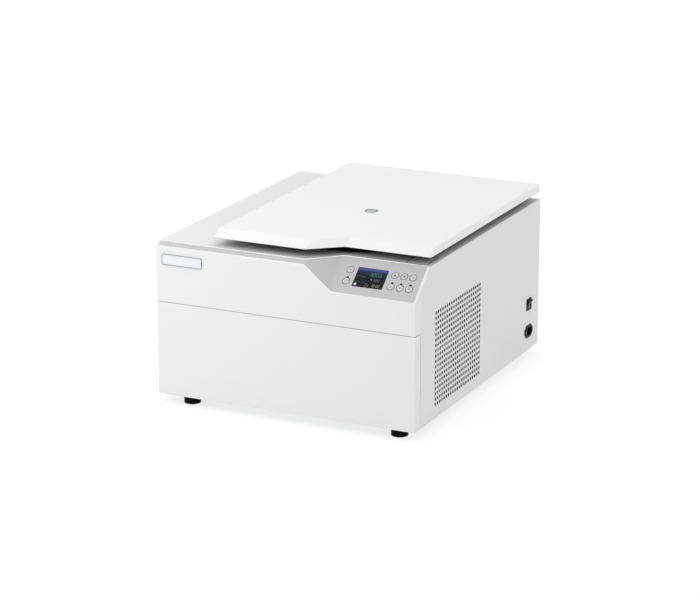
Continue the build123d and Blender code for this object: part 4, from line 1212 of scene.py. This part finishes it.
def threaded(polygon: Array, points: Array) -> tuple[int, ...]:
    """Finds the points that lie on a convex polygon's edges.

    Args:
        polygon: Its corners in rows.
        points: All the points of the face.

    Returns:
        The numbers of those on the edges, in the polygon's order.
    """
    loop: list[int] = []
    for start, end in zip(polygon, np.roll(polygon, -1, axis=0)):
        along = end - start
        length = float(np.linalg.norm(along))
        offset = points - start
        travel = offset @ along / length
        aside = np.abs(offset[:, 0] * along[1] - offset[:, 1] * along[0]) / length
        on_edge = np.flatnonzero((aside < TINY) & (travel > -TINY) & (travel < length - TINY))
        loop += on_edge[np.argsort(travel[on_edge])].tolist()
    return tuple(loop)


def on_side(form: Form, x: float) -> Form:
    """A form drawn as (y, z, out) put on the right side at a place along X."""
    points = np.column_stack([x + form.points[:, 2], form.points[:, 0], form.points[:, 1]])
    return Form(points, form.faces)


@dataclass
class Badge:
    """The raised plaque at the left of the front, left bare."""

    shop: Workshop
    left: float = -252.2 * MM
    right: float = -168.5 * MM
    bottom: float = 274.5 * MM
    top: float = 295.1 * MM
    thickness: float = 1.6 * MM
    corner: float = 3.0 * MM
    corner_steps: int = 8
    frame_width: float = 0.9 * MM
    frame_depth: float = 2.0 * MM
    soft_edge: float = 0.5 * MM
    soft_segments: int = 3
    soft_angle: float = 50.0

    def build(self) -> None:
        """Makes the frame, whose grey is painted shade round the plaque's edge, and the plaque with
        its softened front edge.
        """
        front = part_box("front_fascia")[0].y
        plane = Plane(
            ((self.left + self.right) / 2, front, (self.bottom + self.top) / 2),
            (1.0, 0.0, 0.0), (0.0, 0.0, 1.0),
        )
        outline, edge = (
            rounded_rectangle(
                self.right - self.left - 2 * inset, self.top - self.bottom - 2 * inset,
                self.corner - inset, self.corner_steps,
            )
            for inset in (self.frame_width, 0.0)
        )
        rim = ring(outline, edge, 0, self.frame_depth).placed(plane)
        # the raised frame is grey as painted shade along the plaque's edges
        self.shop.piece("plaque_frame_painted_shade", rim, Body.CABINET, Slot.WHITE_MOULDING, Ink.FRAME_SHADE)
        face = prism(outline, 0, self.thickness).placed(plane)
        made = self.shop.piece("front_plaque", face, Body.CABINET, Slot.WHITE_MOULDING, Ink.BADGE)
        soft = made.modifiers.new("soft_edge", "BEVEL")
        soft.width = self.soft_edge
        soft.segments = self.soft_segments
        soft.limit_method = "ANGLE"
        soft.angle_limit = radians(self.soft_angle)


@dataclass
class EdgeHighlightTrim:
    """White beads along the crest and the lower edge of the sloping band: the band's rounded white
    rims are real, and the beads' brighter white is a painted highlight on them.

    A bead has one level at the strip and one at the panel, along Y for the crest and along Z for
    the foot. Its step from one to the other starts and ends at two places along X.
    """

    shop: Workshop
    left: float = -260.0 * MM
    right: float = 260.0 * MM
    crest_levels: tuple[float, float] = (-290.9 * MM, -236.7 * MM)
    crest_step: tuple[float, float] = (41.9 * MM, 92.5 * MM)
    crest_inset: float = 0.5 * MM
    crest_lift: float = 0.1 * MM
    crest_radius: float = 0.9 * MM
    foot_levels: tuple[float, float] = (310.0 * MM, 265.0 * MM)
    foot_step: tuple[float, float] = (42.4 * MM, 96.4 * MM)
    foot_inset: float = 0.6 * MM
    foot_set_back: float = 0.9 * MM
    foot_radius: float = 0.8 * MM
    curve_reach: float = 6.3 * MM
    sides: int = 10

    def build(self) -> None:
        """Makes the bead on the deck's front edge, and the one between the band and the front."""
        crest = self.jogged(self.crest_levels, self.crest_step) + (0.0, self.crest_inset)
        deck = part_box("top_deck")[1].z + self.crest_lift
        self.bead("band_crest_highlight_trim", raised(crest, deck), (0.0, 0.0, 1.0), self.crest_radius)
        foot = self.jogged(self.foot_levels, self.foot_step) - (0.0, self.foot_inset)
        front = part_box("front_fascia")[0].y + self.foot_set_back
        self.bead(
            "band_foot_highlight_trim", raised(foot, front)[:, [0, 2, 1]], (0.0, 1.0, 0.0), self.foot_radius
        )

    def jogged(self, levels: tuple[float, float], step: tuple[float, float]) -> Array:
        """The corners of a line that runs from the left to the right and changes level once."""
        first, last = levels
        return np.array([[self.left, first], [step[0], first], [step[1], last], [self.right, last]])

    def bead(self, name: str, corners_of_line: Array, binormal: Triple, radius: float) -> None:
        """Makes one bead, its line's corners softened."""
        form = tube(softened(corners_of_line, self.curve_reach), binormal, radius, self.sides)
        # painted highlight: the beads' bright white lights up the band's rounded edges
        self.shop.piece(name, form, Body.CABINET, Slot.WHITE_MOULDING, Ink.TRIM_HIGHLIGHT, smooth=True)


@dataclass
class AccessSeal:
    """Thin black seal round the small plate in the deck's front corner."""

    shop: Workshop
    width: float = 1.5 * MM
    thickness: float = 0.1 * MM
    corner: float = 0.8 * MM
    corner_steps: int = 6

    def build(self) -> None:
        """Lays the seal on the deck along the plate's edge."""
        low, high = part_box("deck_access_plate")
        size = high - low
        inner, outer = (
            rounded_rectangle(
                size.x + 2 * grown, size.y + 2 * grown, self.corner + grown, self.corner_steps
            )
            for grown in (0.0, self.width)
        )
        form = ring(inner, outer, high.z, high.z + self.thickness)
        placed = form.shifted((low.x + high.x) / 2, (low.y + high.y) / 2)
        self.shop.piece("access_plate_seal", placed, Body.CABINET, Slot.BLACK_RUBBER, Ink.SEAL)


@dataclass
class Feet:
    """Four rubber feet with rounded soles."""

    shop: Workshop
    radius: float = 16.0 * MM
    sole_radius: float = 1.2 * MM
    sole_steps: int = 7
    recess_depth: float = 1.5 * MM
    recess_radii: tuple[float, float] = (7.2 * MM, 8.0 * MM)
    count: int = 48
    sharp_angle: float = 40.0

    def build(self) -> None:
        """Makes the feet in place of the model's."""
        low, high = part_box("rubber_feet")
        angle = np.linspace(-pi / 2, 0, self.sole_steps)
        sole = np.column_stack([
            self.radius - self.sole_radius + self.sole_radius * np.cos(angle),
            low.z + self.sole_radius + self.sole_radius * np.sin(angle),
        ])
        inner, outer = self.recess_radii
        foot = revolved(np.array([
            [inner, low.z + self.recess_depth], [outer, low.z], *sole, [self.radius, high.z]
        ]), self.count)
        feet = [
            foot.shifted(x, y)
            for x in (low.x + self.radius, high.x - self.radius)
            for y in (low.y + self.radius, high.y - self.radius)
        ]
        made = self.shop.piece(
            "rounded_feet", joined(feet), Body.CABINET, Slot.BLACK_RUBBER, smooth=True,
            replaces=["rubber_feet"],
        )
        made.data.set_sharp_from_angle(angle=radians(self.sharp_angle))


@dataclass
class PowerEntry:
    """Marks of the rocker switch and metal contacts of the mains inlet.

    The rocker's profile is read from points that lie further from its middle than the end reach.
    Its crease is nearer to the middle's height than the crease reach, and the tip of a half is
    further from it than the half reach.
    """

    shop: Workshop
    mark_height: float = 4.2 * MM
    mark_stroke: float = 0.8 * MM
    mark_corner: float = 0.2 * MM
    mark_radii: tuple[float, float] = (1.5 * MM, 2.2 * MM)
    mark_sides: int = 28
    mark_depth: float = 0.05 * MM
    end_reach: float = 6.0 * MM
    crease_reach: float = 2.5 * MM
    half_reach: float = 2.0 * MM
    socket_depth: float = 16.0 * MM
    blade: tuple[float, float, float] = (2.1 * MM, 4.1 * MM, 0.3 * MM)
    blade_reach: tuple[float, float] = (0.2 * MM, 11.5 * MM)
    blade_places: tuple[tuple[float, float], ...] = (
        (-7 * MM, -2 * MM), (7 * MM, -2 * MM), (0.0, 2 * MM)
    )

    def build(self) -> None:
        """Makes the marks and the contacts."""
        self.rocker_marks()
        self.contacts()

    def rocker_marks(self) -> None:
        """Prints a bar on the upper half of the rocker and a ring on the lower half."""
        points = node_points("power_rocker")
        bar = rounded_rectangle(self.mark_stroke, self.mark_height, self.mark_corner)
        circlet = hoop(*self.mark_radii, self.mark_sides)
        for name, upwards, form in (("rocker_bar", 1, prism(bar)), ("rocker_ring", -1, circlet)):
            placed = form.scaled(1.0, self.mark_depth).placed(self.rocker_face(points, upwards))
            self.shop.piece(name, placed, Body.ROCKER, Slot.BLACK_PLASTIC, Ink.WHITE)

    def rocker_face(self, points: Array, upwards: int) -> Plane:
        """The flat half of the rocker's face above or below its crease.

        Args:
            points: The rocker's points.
            upwards: 1 for the upper half, -1 for the lower.

        Returns:
            A plane whose origin is the middle of that half.
        """
        (_, middle_y, middle_z), _ = middle_and_size(points)
        ends = points[np.abs(points[:, 1] - middle_y) > self.end_reach]
        profile = np.unique(ends[:, [0, 2]].round(HAIR_DECIMALS), axis=0)
        rise = profile[:, 1] - middle_z
        half = profile[rise * upwards > self.half_reach]
        near = profile[np.abs(rise) < self.crease_reach]
        tip, crease = half[np.argmax(half[:, 0])], near[np.argmax(near[:, 0])]
        along = np.array([tip[0] - crease[0], 0, tip[1] - crease[1]]) * upwards
        along /= np.linalg.norm(along)
        x, z = ((tip + crease) / 2).tolist()
        return Plane((x, float(middle_y), z), (0.0, 1.0, 0.0), tuple(along))

    def contacts(self) -> None:
        """Makes metal skins over the three blades of the inlet."""
        points = node_points("mains_inlet")
        (_, middle_y, middle_z), _ = middle_and_size(points)
        floor = points[:, 0].max() - self.socket_depth
        base, tip = (floor + reach for reach in self.blade_reach)
        outline = rounded_rectangle(*self.blade)
        form = joined(
            prism(outline, base, tip).shifted(middle_y + right, middle_z + up)
            for right, up in self.blade_places
        )
        placed = on_side(form, 0.0)
        self.shop.piece("inlet_contacts", placed, Body.CABINET, Slot.BRIGHT_STEEL, Ink.CONTACT)


# ------------------------------------------------------------------ studio
@dataclass
class Studio:
    """Camera, lights and white surroundings."""

    position: Triple = (2.1271, -4.4709, 1.6488)
    yaw: float = 25.527
    pitch: float = 16.782
    lens: float = 137.575
    sky: float = 0.83
    fill_strength: float = 0.15
    fill_direction: Triple = (0.25, -0.65, 0.72)
    fill_softness: float = 40.0
    key_power: float = 2.3
    key_place: Triple = (-0.55, -0.95, 0.85)
    key_aim: Triple = (0.0, -0.1, 0.2)
    key_size: float = 0.6
    far: float = 200.0
    floor_size: float = 60.0
    floor_white: float = 0.86
    floor_lift: float = 0.74
    floor_shade: float = 0.34

    def build(self) -> None:
        """Sets everything up."""
        self.camera()
        self.world()
        self.key()
        self.fill()
        self.floor()
        bpy.context.scene.view_settings.view_transform = "Standard"
        LOG.info("studio ready")

    def camera(self) -> None:
        """A long lens to the front right of the cabinet, a little above it."""
        data = bpy.data.cameras.new("camera")
        data.lens = self.lens
        data.clip_end = self.far
        made = added("camera", data)
        made.location = self.position
        made.rotation_euler = (pi / 2 - radians(self.pitch), 0.0, radians(self.yaw))
        bpy.context.scene.camera = made

    def world(self) -> None:
        """An even sky that looks white itself, in mirrors and through glass."""
        world = bpy.data.worlds.new("sky")
        bpy.context.scene.world = world
        world.use_nodes = True
        wiring = Wiring(world.node_tree)
        strength = wiring.node("MapRange", {
            "Value": self.seen_ray(wiring), "To Min": self.sky, "To Max": 1.0,
        }).outputs["Result"]
        sky = world.node_tree.nodes["Background"]
        wiring.feed(sky, {"Color": (1.0, 1.0, 1.0, 1.0), "Strength": strength})

    @staticmethod
    def seen_ray(wiring: Wiring) -> Socket:
        """Tells rays that see from rays that light.

        Args:
            wiring: The tree that asks.

        Returns:
            1 for a ray from the camera, a mirror or glass, and 0 for a ray that lights a surface.
        """
        rays = wiring.node("LightPath").outputs
        seen = wiring.math("MAXIMUM", rays["Is Camera Ray"], rays["Is Glossy Ray"])
        return wiring.math("MAXIMUM", seen, rays["Is Transmission Ray"])

    def key(self) -> None:
        """One broad lamp from above the front left."""
        data = bpy.data.lights.new("key", "AREA")
        data.energy = self.key_power
        data.size = self.key_size
        made = added("key", data)
        made.location = self.key_place
        aim = Vector(self.key_place) - Vector(self.key_aim)
        made.rotation_euler = aim.to_track_quat("Z", "Y").to_euler()
        made.visible_camera = False

    def fill(self) -> None:
        """A weak, very soft sun from the front."""
        data = bpy.data.lights.new("fill", "SUN")
        data.energy = self.fill_strength
        data.angle = radians(self.fill_softness)
        made = added("fill", data)
        made.rotation_euler = Vector(self.fill_direction).to_track_quat("Z", "Y").to_euler()

    def floor(self) -> None:
        """A white floor that keeps a pale shadow."""
        half = self.floor_size / 2
        corner_places = [(-half, -half, 0), (half, -half, 0), (half, half, 0), (-half, half, 0)]
        mesh = bpy.data.meshes.new("floor")
        mesh.from_pydata(corner_places, [], [(0, 1, 2, 3)])
        made = added("floor", mesh)
        material = bpy.data.materials.new("floor_white")
        material.use_nodes = True
        nodes = material.node_tree.nodes
        nodes.remove(nodes["Principled BSDF"])
        wiring = Wiring(material.node_tree)
        lit, shaded = (
            wiring.node("BsdfDiffuse", {"Color": (shade, shade, shade, 1.0)}).outputs["BSDF"]
            for shade in (self.floor_white, self.floor_shade)
        )
        lift = wiring.node("Emission", {"Strength": self.floor_lift}).outputs["Emission"]
        seen = wiring.node("AddShader", {0: shaded, 1: lift}).outputs["Shader"]
        mixed = wiring.node("MixShader", {"Fac": self.seen_ray(wiring), 1: lit, 2: seen})
        wiring.feed(nodes["Material Output"], {"Surface": mixed.outputs["Shader"]})
        mesh.materials.append(material)


def main() -> None:
    """Builds the whole scene."""
    logging.basicConfig(level=logging.INFO, format="%(message)s")
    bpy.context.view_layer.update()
    shop = Workshop()
    Studio().build()
    shop.dress_model()
    panel = ControlPanel(shop)
    panel.build()
    ScreenPicture(shop, panel).build()
    for sub_assembly in (VentPanel, Badge, EdgeHighlightTrim, AccessSeal, Feet, PowerEntry):
        sub_assembly(shop).build()


if __name__ == "__main__":
    main()
